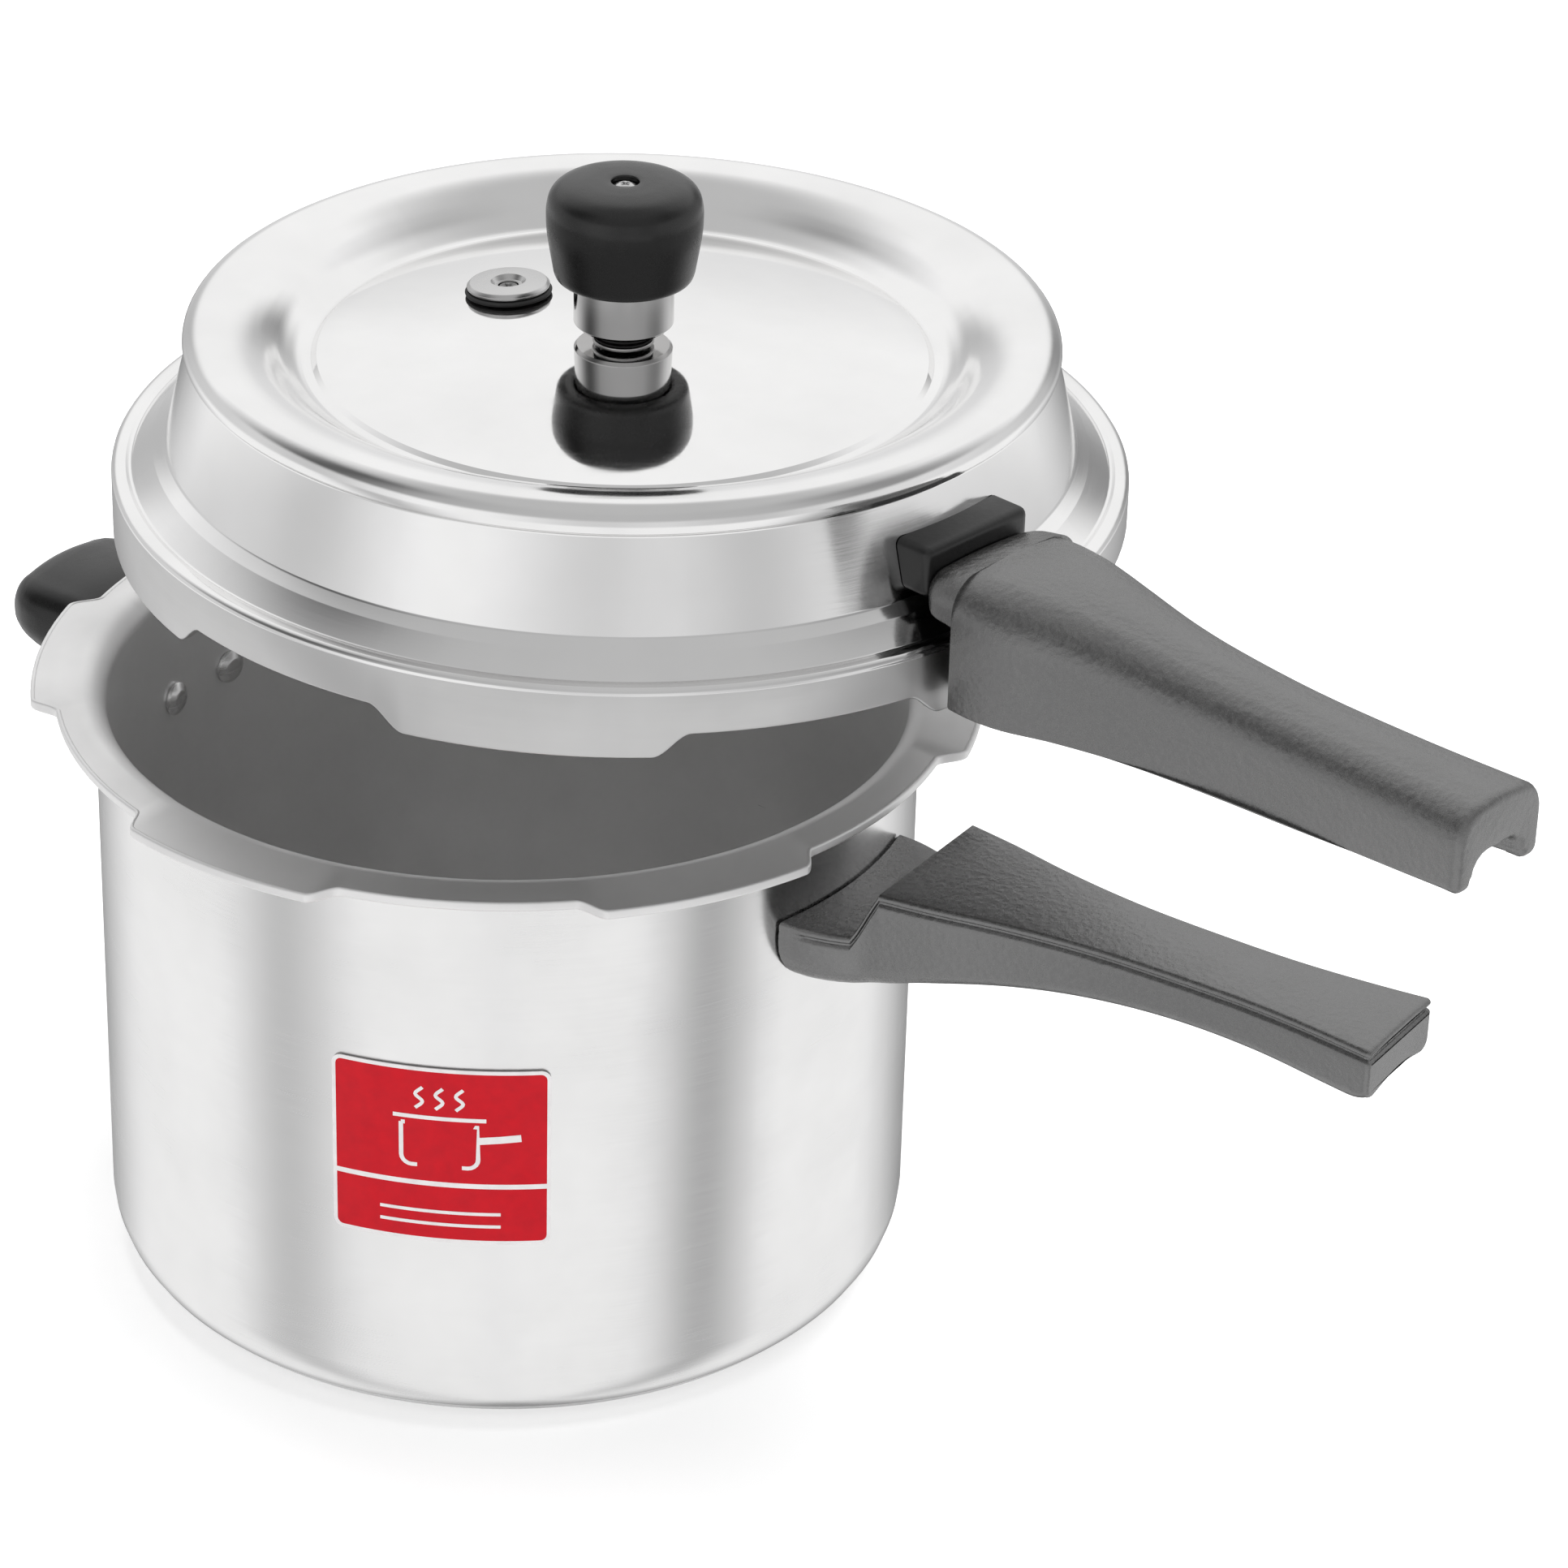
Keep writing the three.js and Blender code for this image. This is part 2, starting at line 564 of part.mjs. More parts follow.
function lidHandle() {
  const { lobe, lobeFloor, root, end, screwAt, headSeat, channelTop, endWall } = LID_HANDLE;
  const { low, neckTop, neckHalfWidth } = LID_BRACKET;
  const halfWidths = [
    [lobe, 17.4], [121, 20], [133, 22.2], [142, 22], [158, 18.6], [178, 15.4], [202, 13.6],
    [226, 13.4], [250, 14], [end, 15],
  ];
  const plan = prism(symmetricPlan(halfWidths, 20), -20, 60);
  const topEdge = smoothEdge(
    [[lobe, 27.4], [124, 30], [136, 31], [150, 30.2], [176, 27.2], [206, 25], [238, 24.2], [end, 24]], 12,
  );
  const lowEdge = smoothEdge(
    [[end, 4], [250, 3.6], [220, 2.8], [190, 1.4], [160, -0.6], [140, -2.2], [root, -2.6]], 10,
  );
  const side = [...topEdge, ...lowEdge, [root, lobeFloor], [lobe, lobeFloor]];
  const channelPlan = [[148, 13], [176, 10.4], [200, 8.6], [226, 8.2], [endWall, 9.2]];
  const channel = prism(symmetricPlan(channelPlan, 12), -20, channelTop);
  const lobeHollow = box(lobe - 2, root, neckHalfWidth + FIT_GAP, lobeFloor - 2, neckTop + FIT_GAP);
  const socket = box(
    root - 2, LID_TONGUE.end + FIT_GAP, LID_TONGUE.halfWidth + FIT_GAP,
    low - FIT_GAP, neckTop + FIT_GAP,
  );
  return plan
    .intersect(sideProfile(side, 60))
    .subtract(channel)
    .subtract(endNotch())
    .subtract(lobeHollow)
    .subtract(socket)
    .subtract(screwHole(-10, headSeat, low + 1).translate([screwAt, 0, 0]));
}

function lidHandleScrew() {
  return screwSolid(9).translate([LID_HANDLE.screwAt, 0, LID_HANDLE.headSeat - FIT_GAP]);
}

// --- Vent and weight regulator, on the lid's axis ---

const VENT_TOP = 64.5;

function ventTube() {
  const under = PLATE_HEIGHT - LID_WALL;
  const outline = [
    [1.6, under - 9], [VENT_RADIUS, under - 9], [VENT_RADIUS, PLATE_HEIGHT + 0.9],
    [7.6, PLATE_HEIGHT + 0.9], [7.6, PLATE_HEIGHT + 1.9], [4.5, PLATE_HEIGHT + 2.2],
    [4.2, PLATE_HEIGHT + 5], [3.6, VENT_TOP], [2.6, VENT_TOP + 1], [1.6, VENT_TOP - 1],
  ];
  return revolve(outline, 24);
}

function ventSeal() {
  return revolve(
    [[4.3, PLATE_HEIGHT + 0.2], [7.4, PLATE_HEIGHT + 0.2], [7.4, PLATE_HEIGHT + 0.7], [4.3, PLATE_HEIGHT + 0.7]],
    24,
  );
}

function ventNut() {
  const top = PLATE_HEIGHT - LID_WALL - FIT_GAP;
  return nutSolid(17, VENT_RADIUS + FIT_GAP, top - 5, top);
}

const WEIGHT = { radius: 12.3, low: 46.7, high: 69, bore: 4.8 };
const CAP = { radius: 19.1, low: 59, top: 84 };

function regulatorWeight() {
  const { radius, low, high, bore } = WEIGHT;
  return revolve(
    [
      [bore + 1.2, low], [radius - 0.8, low], [radius, low + 0.8], [radius, high - 0.6],
      [radius - 0.6, high], [2.3, high], [2.3, VENT_TOP + 2.6], [bore, VENT_TOP + 1.6],
      [bore, low + 1.2],
    ],
    32,
  );
}

// The pin whose cone closes the vent's mouth.
function regulatorPin() {
  const seat = VENT_TOP + 0.4;
  return revolve(
    [[0, seat - 2.8], [0.7, seat - 2.2], [2, seat + 1.2], [2, WEIGHT.high + 2], [0, WEIGHT.high + 2]],
    16,
  );
}

function regulatorCap() {
  const { radius, low, top } = CAP;
  const seat = WEIGHT.high + FIT_GAP;
  const bore = WEIGHT.radius + FIT_GAP;
  const outer = smoothEdge(
    [[14.6, low], [17, low + 1.8], [18.4, low + 7], [radius, low + 14.5], [18.2, low + 20.4], [13.6, top - 1]],
    8,
  );
  return revolve(
    [
      [bore, low], ...outer, [6, top], [3.4, top], [3.4, top - 2.2],
      [2.4, top - 2.2], [2.4, seat], [bore, seat],
    ],
    28,
  );
}

// The small screw that holds the cap to the weight, sunk in the cap's crown.
function capScrew() {
  const foot = WEIGHT.high + 2.4;
  const seat = CAP.top - 1.9;
  return revolve([[0, foot], [2, foot], [2, seat], [3, seat], [3, seat + 1.3], [0, seat + 1.3]], 20);
}

// --- Safety plug ---

// The plug's own frame: z = 0 on the plate's top face.
function plugBody() {
  const { shank } = PLUG;
  const head = 1.6;
  return revolve(
    [
      [2.6, -LID_WALL - 8], [shank, -LID_WALL - 8], [shank, head], [10.2, head], [10.4, head + 0.8],
      [9.6, head + 1.6], [4.4, head + 1.9], [3.4, head + 0.6], [2.6, head + 0.6],
    ],
    24,
  );
}

function plugSeal() {
  const bore = PLUG.shank + FIT_GAP;
  return revolve([[bore, 0.3], [10.6, 0.3], [10.9, 0.8], [10.4, 1.4], [bore, 1.4]], 24);
}

function plugNut() {
  const top = -LID_WALL - FIT_GAP - 0.1;
  return nutSolid(20, PLUG.shank + FIT_GAP, top - 4, top);
}

// The fusible core that fills the plug's bore, with a cross pressed into its top.
function plugCore() {
  const top = 2.1;
  const core = rod(2.3, -LID_WALL - 7, top, 20);
  const bar = box(-1.8, 1.8, 0.5, top - 1.1, top + 1);
  return core.subtract(bar).subtract(turned(bar, 90));
}

// --- Assembly ---

function pair(name, makeSolid, look, lean, side) {
  return ["near", "far"].map((place, i) => {
    const sign = i === 0 ? -1 : 1;
    return toMesh(`${name}_${place}`, turned(makeSolid(), side + sign * lean), look);
  });
}

function potGroup() {
  const pot = new THREE.Group();
  const helperSide = new THREE.Group();
  helperSide.rotation.z = Math.PI;
  pot.add(
    toMesh("pot_shell", potShell(), SATIN),
    toMesh("pot_handle_bracket", potBracket(POT_HANDLE.tongueEnd, POT_HANDLE.screwAt), STEEL),
    ...pair("pot_handle_rivet", potRivet, STEEL, RIVET_ANGLE, 0),
    toMesh("pot_handle", potHandle(), BAKELITE),
    toMesh("pot_handle_screw", tongueScrew(POT_HANDLE.screwAt), STEEL),
    toMesh("front_label", turned(frontLabel(), LABEL.angle), LABEL_RED),
    helperSide,
  );
  helperSide.add(
    toMesh("helper_handle_bracket", potBracket(HELPER.tongueEnd, HELPER.screwAt), STEEL),
    ...pair("helper_handle_rivet", potRivet, STEEL, RIVET_ANGLE, 0),
    toMesh("helper_handle", helperHandle(), BLACK_BAKELITE),
    toMesh("helper_handle_screw", tongueScrew(HELPER.screwAt), STEEL),
  );
  return pot;
}

function regulatorGroup() {
  const regulator = new THREE.Group();
  regulator.add(
    toMesh("vent_tube", ventTube(), STEEL),
    toMesh("vent_seal", ventSeal(), RUBBER),
    toMesh("vent_nut", ventNut(), STEEL),
    toMesh("regulator_weight", regulatorWeight(), CHROME),
    toMesh("regulator_pin", regulatorPin(), STEEL),
    toMesh("regulator_cap", regulatorCap(), BLACK_BAKELITE),
    toMesh("regulator_cap_screw", capScrew(), STEEL),
  );
  return regulator;
}

function safetyPlugGroup() {
  const plug = new THREE.Group();
  const angle = PLUG.angle * RADIANS;
  plug.rotation.set(0, PLUG_LEAN, angle, "ZYX");
  plug.position.set(
    PLUG.radius * Math.cos(angle), PLUG.radius * Math.sin(angle), plateHeight(PLUG.radius),
  );
  plug.add(
    toMesh("safety_plug_body", plugBody(), STEEL),
    toMesh("safety_plug_seal", plugSeal(), RUBBER),
    toMesh("safety_plug_nut", plugNut(), STEEL),
    toMesh("safety_plug_core", plugCore(), LEAD_ALLOY),
  );
  return plug;
}

function lidGroup() {
  const lid = new THREE.Group();
  lid.position.set(LID_SHIFT.x, LID_SHIFT.y, LID_CLOSED_HEIGHT + LID_SHIFT.z);
  lid.rotation.z = LID_ANGLE * RADIANS;
  lid.add(
    toMesh("lid_shell", lidShell(), POLISHED),
    toMesh("sealing_ring", sealingRing(), RUBBER),
    toMesh("lid_handle_bracket", lidBracket(), BLACK_PAINT),
    ...pair("lid_handle_rivet", lidRivet, STEEL, LID_BRACKET.rivetAngle, 0),
    toMesh("lid_handle", lidHandle(), BAKELITE),
    toMesh("lid_handle_screw", lidHandleScrew(), STEEL),
    regulatorGroup(),
    safetyPlugGroup(),
  );
  return lid;
}

const cooker = new THREE.Group();
cooker.add(potGroup(), lidGroup());

export default cooker;
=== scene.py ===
import math

import bmesh
import bpy
import numpy as np
from mathutils import Matrix, Vector


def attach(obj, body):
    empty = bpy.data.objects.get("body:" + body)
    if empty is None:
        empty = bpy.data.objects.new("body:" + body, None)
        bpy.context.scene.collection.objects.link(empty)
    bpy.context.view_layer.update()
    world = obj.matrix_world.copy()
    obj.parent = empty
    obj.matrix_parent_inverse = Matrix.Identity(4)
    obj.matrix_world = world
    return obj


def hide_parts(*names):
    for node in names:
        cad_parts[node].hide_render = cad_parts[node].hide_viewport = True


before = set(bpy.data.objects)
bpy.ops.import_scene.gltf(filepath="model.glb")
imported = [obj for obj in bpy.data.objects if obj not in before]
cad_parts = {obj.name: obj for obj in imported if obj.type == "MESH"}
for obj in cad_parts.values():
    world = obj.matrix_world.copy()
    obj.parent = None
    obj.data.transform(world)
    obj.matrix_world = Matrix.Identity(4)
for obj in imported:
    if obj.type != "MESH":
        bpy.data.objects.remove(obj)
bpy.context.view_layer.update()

# The looks of a stovetop pressure cooker. Shapes are worked out in millimetres in the part's frame,
# or in the lid's own frame, and become metres when a mesh is made.
MM = 0.001
LID_PLACE = Matrix.Translation((29.2, 7.1, 218.4)) @ Matrix.Rotation(math.radians(-10), 4, "Z")
HERE = Matrix.Identity(4)


# --- Outlines -------------------------------------------------------------------------------------

def rounded(corners, steps=4):
    """A polyline whose corners (a, b, radius) are rounded. A corner keeps its number of points
    when its neighbours come close, so that sections with the same corners can be joined."""
    points = [np.array(c[:2], float) for c in corners]
    out = []
    for i, corner in enumerate(corners):
        radius = corner[2] if len(corner) > 2 else 0
        here, before, after = points[i], points[i - 1], points[(i + 1) % len(points)]
        if not radius:
            out.append(here)
            continue
        u, v = before - here, after - here
        length_u, length_v = np.linalg.norm(u), np.linalg.norm(v)
        if min(length_u, length_v) < 1e-6:
            out += [here] * (steps + 1)
            continue
        u, v = u / length_u, v / length_v
        half = math.acos(max(-1.0, min(1.0, float(u @ v)))) / 2
        if half > math.radians(89.5) or half < math.radians(0.5):
            out += [here] * (steps + 1)
            continue
        tangent = min(radius / math.tan(half), 0.48 * length_u, 0.48 * length_v)
        middle = (u + v) / np.linalg.norm(u + v)
        centre = here + middle * tangent / math.cos(half)
        first, last = here + u * tangent - centre, here + v * tangent - centre
        start = math.atan2(first[1], first[0])
        turn = (math.atan2(last[1], last[0]) - start + math.pi) % (2 * math.pi) - math.pi
        reach = tangent * math.tan(half)
        for k in range(steps + 1):
            angle = start + turn * k / steps
            out.append(centre + reach * np.array([math.cos(angle), math.sin(angle)]))
    return np.array(out)


def arc(centre_a, centre_b, radius, first, last, steps):
    """Points of an arc between two angles in degrees."""
    angles = np.radians(np.linspace(first, last, steps + 1))
    return [(centre_a + radius * math.cos(t), centre_b + radius * math.sin(t)) for t in angles]


def quarter(steps, first=0):
    """The (sine, cosine) of even steps of a quarter turn."""
    return [(math.sin(t), math.cos(t)) for t in (math.pi / 2 * k / steps for k in range(first, steps + 1))]


def curve(points, per=6):
    """A smooth line through the points."""
    p = np.array(points, float)
    p = np.vstack([2 * p[0] - p[1], p, 2 * p[-1] - p[-2]])
    out = []
    for i in range(1, len(p) - 2):
        for k in range(per):
            t = k / per
            out.append(0.5 * (
                2 * p[i] + (p[i + 1] - p[i - 1]) * t
                + (2 * p[i - 1] - 5 * p[i] + 4 * p[i + 1] - p[i + 2]) * t * t
                + (3 * p[i] - p[i - 1] - 3 * p[i + 1] + p[i + 2]) * t ** 3
            ))
    return [tuple(q) for q in out] + [tuple(p[-2])]


def along(table, x):
    """The smooth value at x of a table of (x, value) points in rising x."""
    xs, values = np.array(table, float).T
    if x <= xs[0] or x >= xs[-1]:
        return float(np.interp(x, xs, values))
    slopes = np.gradient(values, xs)
    i = int(np.searchsorted(xs, x)) - 1
    width = xs[i + 1] - xs[i]
    t = (x - xs[i]) / width
    return float(
        (1 + 2 * t) * (1 - t) ** 2 * values[i] + t * (1 - t) ** 2 * width * slopes[i]
        + t * t * (3 - 2 * t) * values[i + 1] + t * t * (t - 1) * width * slopes[i + 1]
    )


def smooth(t):
    """A soft step from 0 to 1."""
    t = min(max(t, 0.0), 1.0)
    return t * t * (3 - 2 * t)


def resample(points, count):
    """The line through the points, as this many points equally far apart."""
    p = np.array(points, float)
    lengths = np.concatenate([[0], np.cumsum(np.linalg.norm(np.diff(p, axis=0), axis=1))])
    at = np.linspace(0, lengths[-1], count)
    return [(float(np.interp(t, lengths, p[:, 0])), float(np.interp(t, lengths, p[:, 1]))) for t in at]


# --- Meshes ---------------------------------------------------------------------------------------

def skin(rows, wrap_rows=False, wrap_columns=True, caps=False):
    """Points of rows of equal length, joined by faces. Returns vertices and faces."""
    points = np.array(rows, float)
    count, width = points.shape[:2]
    faces = []
    for i in range(count if wrap_rows else count - 1):
        a, b = i * width, (i + 1) % count * width
        for j in range(width if wrap_columns else width - 1):
            k = (j + 1) % width
            faces.append((a + j, a + k, b + k, b + j))
    if caps:
        faces += [tuple(range(width)), tuple(range((count - 1) * width, count * width))]
    return points.reshape(-1, 3), faces


def solid(name, parts, looks, place=HERE, look_of=None, sharp=30, weld=2e-3):
    """An object from one or more (vertices, faces) in millimetres. look_of(centre) picks a face's look."""
    bm = bmesh.new()
    for verts, faces in parts:
        made = [bm.verts.new(v) for v in verts]
        for face in faces:
            ring = list(dict.fromkeys(face))
            if len(ring) > 2:
                bm.faces.new([made[k] for k in ring])
    bmesh.ops.remove_doubles(bm, verts=bm.verts, dist=weld)
    bmesh.ops.dissolve_degenerate(bm, edges=bm.edges, dist=1e-4)
    bmesh.ops.recalc_face_normals(bm, faces=bm.faces)
    if look_of:
        for face in bm.faces:
            face.material_index = look_of(face.calc_center_median())
    bm.transform(Matrix.Scale(MM, 4) @ place)
    mesh = bpy.data.meshes.new(name)
    bm.to_mesh(mesh)
    bm.free()
    return shown(name, mesh, looks, sharp)


def shown(name, mesh, looks, sharp=30):
    """The mesh as an object of the scene, smooth except at edges over an angle in degrees."""
    mesh.shade_smooth()
    mesh.set_sharp_from_angle(angle=math.radians(sharp))
    for look in looks:
        mesh.materials.append(look)
    obj = bpy.data.objects.new(name, mesh)
    bpy.context.scene.collection.objects.link(obj)
    return obj


def turned_outline(outline, angles):
    """The points of an outline (r, z), or of a function that gives one for an angle, at each angle."""
    rows = []
    for degrees in angles:
        c, s = math.cos(math.radians(degrees)), math.sin(math.radians(degrees))
        section = outline(degrees) if callable(outline) else outline
        rows.append([(r * c, r * s, z) for r, z in section])
    return rows


def lathe(name, outline, looks, place=HERE, segments=96, look_of=None, closed=False, sharp=30):
    """A turned piece from its outline (r, z), which is closed where the piece has a bore."""
    rows = turned_outline(outline, np.arange(segments) * 360 / segments)
    return solid(name, [skin(rows, True, closed)], looks, place, look_of, sharp)


def carve(obj, cutter):
    """Takes the cutter's shape out of obj, and removes the cutter."""
    tool = obj.modifiers.new("cut", "BOOLEAN")
    tool.operation, tool.object, tool.solver = "DIFFERENCE", cutter, "EXACT"
    bpy.context.view_layer.update()
    graph = bpy.context.evaluated_depsgraph_get()
    mesh = bpy.data.meshes.new_from_object(obj.evaluated_get(graph))
    obj.modifiers.clear()
    obj.data = mesh
    bpy.data.objects.remove(cutter)
    return obj


def settle(obj, body, slot, *nodes):
    """The piece rides on a body and stands for CAD nodes, which it hides. The slot is not used."""
    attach(obj, body)
    if nodes:
        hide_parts(*nodes)
    return obj


def bevelled(node, looks, width):
    """A CAD node's shape with its edges broken, as a new piece."""
    bm = bmesh.new()
    bm.from_mesh(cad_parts[node].data)
    bm.transform(Matrix.Scale(1000, 4))
    bmesh.ops.remove_doubles(bm, verts=bm.verts, dist=0.01)
    bmesh.ops.dissolve_limit(bm, angle_limit=math.radians(1), verts=bm.verts, edges=bm.edges)
    edges = [e for e in bm.edges if e.is_manifold and e.calc_face_angle(0) > math.radians(30)]
    bmesh.ops.bevel(bm, geom=edges, offset=width, segments=3, profile=0.6, affect="EDGES", clamp_overlap=True)
    bmesh.ops.remove_doubles(bm, verts=bm.verts, dist=0.003)
    bmesh.ops.recalc_face_normals(bm, faces=bm.faces)
    bm.transform(Matrix.Scale(MM, 4))
    mesh = bpy.data.meshes.new(node + "_bevelled")
    bm.to_mesh(mesh)
    bm.free()
    return shown(node + "_bevelled", mesh, looks)


# --- Looks ----------------------------------------------------------------------------------------

class Tree:
    """A node tree, and short ways to add what the looks and the studio need."""

    def __init__(self, tree):
        self.nodes, self.links = tree.nodes, tree.links

    def node(self, kind, inputs=None, **settings):
        made = self.nodes.new("ShaderNode" + kind)
        for key, value in settings.items():
            setattr(made, key, value)
        for key, value in (inputs or {}).items():
            if isinstance(value, bpy.types.NodeSocket):
                self.links.new(value, made.inputs[key])
            else:
                made.inputs[key].default_value = value
        return made

    def sum(self, operation, a, b):
        return self.node("Math", {0: a, 1: b}, operation=operation).outputs[0]

    def span(self, value, low, high, start=0.3, end=0.7, kind="LINEAR"):
        return self.node("MapRange", {
            "Value": value, "From Min": start, "From Max": end, "To Min": low, "To Max": high,
        }, interpolation_type=kind).outputs["Result"]

    def mix(self, factor, a, b):
        return self.node("Mix", {0: factor, 6: a, 7: b}, data_type="RGBA").outputs[2]


class Look(Tree):
    """A Principled material and the few procedural textures that it needs."""

    def __init__(self, name, **values):
        self.material = bpy.data.materials.new(name)
        self.material.use_nodes = True
        super().__init__(self.material.node_tree)
        self.shader = self.nodes["Principled BSDF"]
        for key, value in values.items():
            self.shader.inputs[key.replace("_", " ")].default_value = value

    def place(self, scale=(1, 1, 1)):
        coordinates = self.node("TexCoord").outputs["Object"]
        return self.node("Mapping", {"Vector": coordinates, "Scale": scale}).outputs["Vector"]

    def noise(self, size, stretch=(1, 1, 1), detail=3.0, roughness=0.55):
        """Noise with features of about size metres, stretched along an axis by less than 1."""
        return self.node("TexNoise", {
            "Vector": self.place(stretch), "Scale": 1 / size, "Detail": detail, "Roughness": roughness,
        }).outputs["Fac"]

    def feed(self, socket, value):
        self.links.new(value, self.shader.inputs[socket])

    def bump(self, *layers):
        """Layers of (height, strength, depth in metres)."""
        normal = None
        for height, strength, depth in layers:
            inputs = {"Height": height, "Strength": strength, "Distance": depth}
            if normal:
                inputs["Normal"] = normal
            normal = self.node("Bump", inputs).outputs["Normal"]
        self.feed("Normal", normal)
        return self

    def brushed(self):
        self.feed("Tangent", self.node("Tangent", direction_type="RADIAL", axis="Z").outputs["Tangent"])
        return self


def grey(value, warm=0.0):
    """A grey, a little towards red."""
    return (value * (1 + warm), value, value * (1 - warm), 1)


def metal(name, tone, low, high, brush=0.0, streak=0.15, grain=0.0004, warm=0.004, metallic=1.0):
    """Aluminium or steel: fine turning lines round the axis, cloudy gloss and faint wear."""
    values = {"Metallic": metallic}
    if brush:
        values.update(Anisotropic=brush, Anisotropic_Rotation=0.25)
    look = Look(name, **values)
    lines = look.noise(grain, (0.02, 0.02, 1), 4, 0.6)
    cloud = look.noise(0.035, (1, 1, 1), 4)
    look.feed("Base Color", look.mix(look.span(cloud, 0, 1), grey(tone, warm), grey(tone * 0.94, warm)))
    look.feed("Roughness", look.sum("ADD", look.span(cloud, low, high), look.span(lines, -0.03, 0.03)))
    look.bump((lines, streak, 0.00004), (look.noise(0.02, detail=2), 0.06, 0.0002))
    return look.brushed() if brush else look


def moulded(name, tone, fleck, rough, grain, warm=0.02, ior=1.5, mottle=0.03):
    """Moulded phenolic: flecks of filler, uneven gloss and a fine orange-peel skin."""
    look = Look(name, IOR=ior)
    fine = look.noise(0.0012, detail=5, roughness=0.75)
    blotch = look.noise(0.012, detail=3)
    cells = look.node("TexVoronoi", {"Vector": look.place(), "Scale": 1 / 0.0019}).outputs["Distance"]
    base = look.mix(look.span(fine, 0, 1, 0.35, 0.68), grey(tone * (1 - fleck), warm),
                    grey(tone * (1 + fleck), warm))
    look.feed("Base Color", look.mix(look.span(blotch, 0, 0.45), base, grey(tone * 1.25, warm)))
    gloss = look.sum("ADD", look.span(blotch, rough - 0.05, rough + 0.07),
                     look.span(fine, -mottle, mottle, 0.35, 0.68))
    look.feed("Roughness", gloss)
    look.bump((fine, grain, 0.0003), (cells, grain * 0.6, 0.0003))
    return look


ALUMINIUM = metal("aluminium_wall", 0.86, 0.2, 0.27, brush=0.6)
ALUMINIUM_INSIDE = metal("aluminium_inside", 0.92, 0.3, 0.4, brush=0.4, metallic=0.7)
CAST_RIM = metal("cast_rim", 0.86, 0.45, 0.55, streak=0.1, grain=0.0012, metallic=0.8)
LID_SKIRT = metal("lid_skirt", 0.6, 0.3, 0.38, brush=0.3)
LID_POLISH = metal("lid_polish", 0.88, 0.1, 0.15, streak=0.08)
LID_MIRROR = metal("lid_mirror", 0.88, 0.045, 0.07, streak=0.03)
LID_INSIDE = metal("lid_inside", 0.78, 0.28, 0.36, brush=0.3)
CHROME = metal("chrome_weight", 0.6, 0.06, 0.1, streak=0.06, grain=0.0003)
STEEL = metal("steel", 0.62, 0.22, 0.32, streak=0.2)
BRACKET_STEEL = metal("bracket_steel", 0.55, 0.3, 0.42, streak=0.25)
RIVET = metal("rivet_aluminium", 0.82, 0.22, 0.32, streak=0.1)
ALLOY = metal("fusible_alloy", 0.36, 0.45, 0.6, streak=0.1, grain=0.001)
BAKELITE = moulded("graphite_bakelite", 0.025, 0.6, 0.22, 0.5, ior=2.5, mottle=0.11)
BLACK_BAKELITE = moulded("black_bakelite", 0.005, 0.2, 0.25, 0.06, warm=0.01)
# Near-black for the lid handle's bracket: partly the bracket's own dark paint, partly painted shade for the
# gap between the crown's wall and the handle's root.
BLACK_PAINT_AND_SHADE = moulded("black_paint_and_shade", 0.006, 0.2, 0.32, 0.12, warm=0.0)
RUBBER = moulded("sealing_rubber", 0.022, 0.25, 0.62, 0.2, warm=0.0)
LABEL_RED = Look("label_red", Specular_IOR_Level=0.2)
LABEL_RED.feed("Base Color", LABEL_RED.mix(
    LABEL_RED.span(LABEL_RED.noise(0.004), 0, 1), (0.62, 0.002, 0.012, 1), (0.54, 0.002, 0.012, 1)))
LABEL_RED.feed("Roughness", LABEL_RED.span(LABEL_RED.noise(0.01), 0.5, 0.6))
LABEL_RED.bump((LABEL_RED.noise(0.0008), 0.05, 0.0001))
LABEL_WHITE = Look("label_white")
LABEL_WHITE.feed("Base Color", LABEL_WHITE.mix(
    LABEL_WHITE.span(LABEL_WHITE.noise(0.004), 0, 1), (0.86, 0.84, 0.84, 1), (0.78, 0.76, 0.76, 1)))
LABEL_WHITE.feed("Roughness", LABEL_WHITE.span(LABEL_WHITE.noise(0.01), 0.35, 0.45))


def use(*looks):
    """The materials of some looks."""
    return [look.material for look in looks]


# --- Pot ------------------------------------------------------------------------------------------

POT_RADIUS = 105.0
INNER_RADIUS = 102.0
RIM_HEIGHT = 163.0
FLANGE_RADIUS, LUG_RADIUS = 115.0, 121.0
LUG_CENTRES = [30 + 60 * k for k in range(6)]


def away(degrees, centres):
    """The angle between a direction and the nearest of some centres."""
    return min(abs((degrees - c + 180) % 360 - 180) for c in centres)


def fine_angles(centres, near, far, step, coarse=2.5):
    """Angles round the axis, closer together where something changes."""
    angles = set(np.round(np.arange(0, 360, coarse), 3))
    for centre in centres:
        for side in (-1, 1):
            for offset in np.arange(near, far + step / 2, step):
                angles.add(round((centre + side * offset) % 360, 3))
    return sorted(angles)


def pot_section(degrees):
    """The pot's outline at an angle, from the base's middle up the outside and down the inside."""
    out = smooth((15.9 - away(degrees, LUG_CENTRES)) / 3.4)
    edge = FLANGE_RADIUS + (LUG_RADIUS - FLANGE_RADIUS) * out
    outside = rounded([
        (0, 0.6), (20, 0.6), (70, 0.3), (POT_RADIUS, 0, 20), (POT_RADIUS, 157.2, 2.5), (107.2, 158.9, 1.4),
        (edge, 158.9, 0.9), (edge, RIM_HEIGHT, 1.2),
    ], 7)
    inside = rounded([(edge, RIM_HEIGHT), (INNER_RADIUS, RIM_HEIGHT, 6.4), (INNER_RADIUS, 4, 17), (0, 4)], 9)
    return np.vstack([outside, inside[1:]])


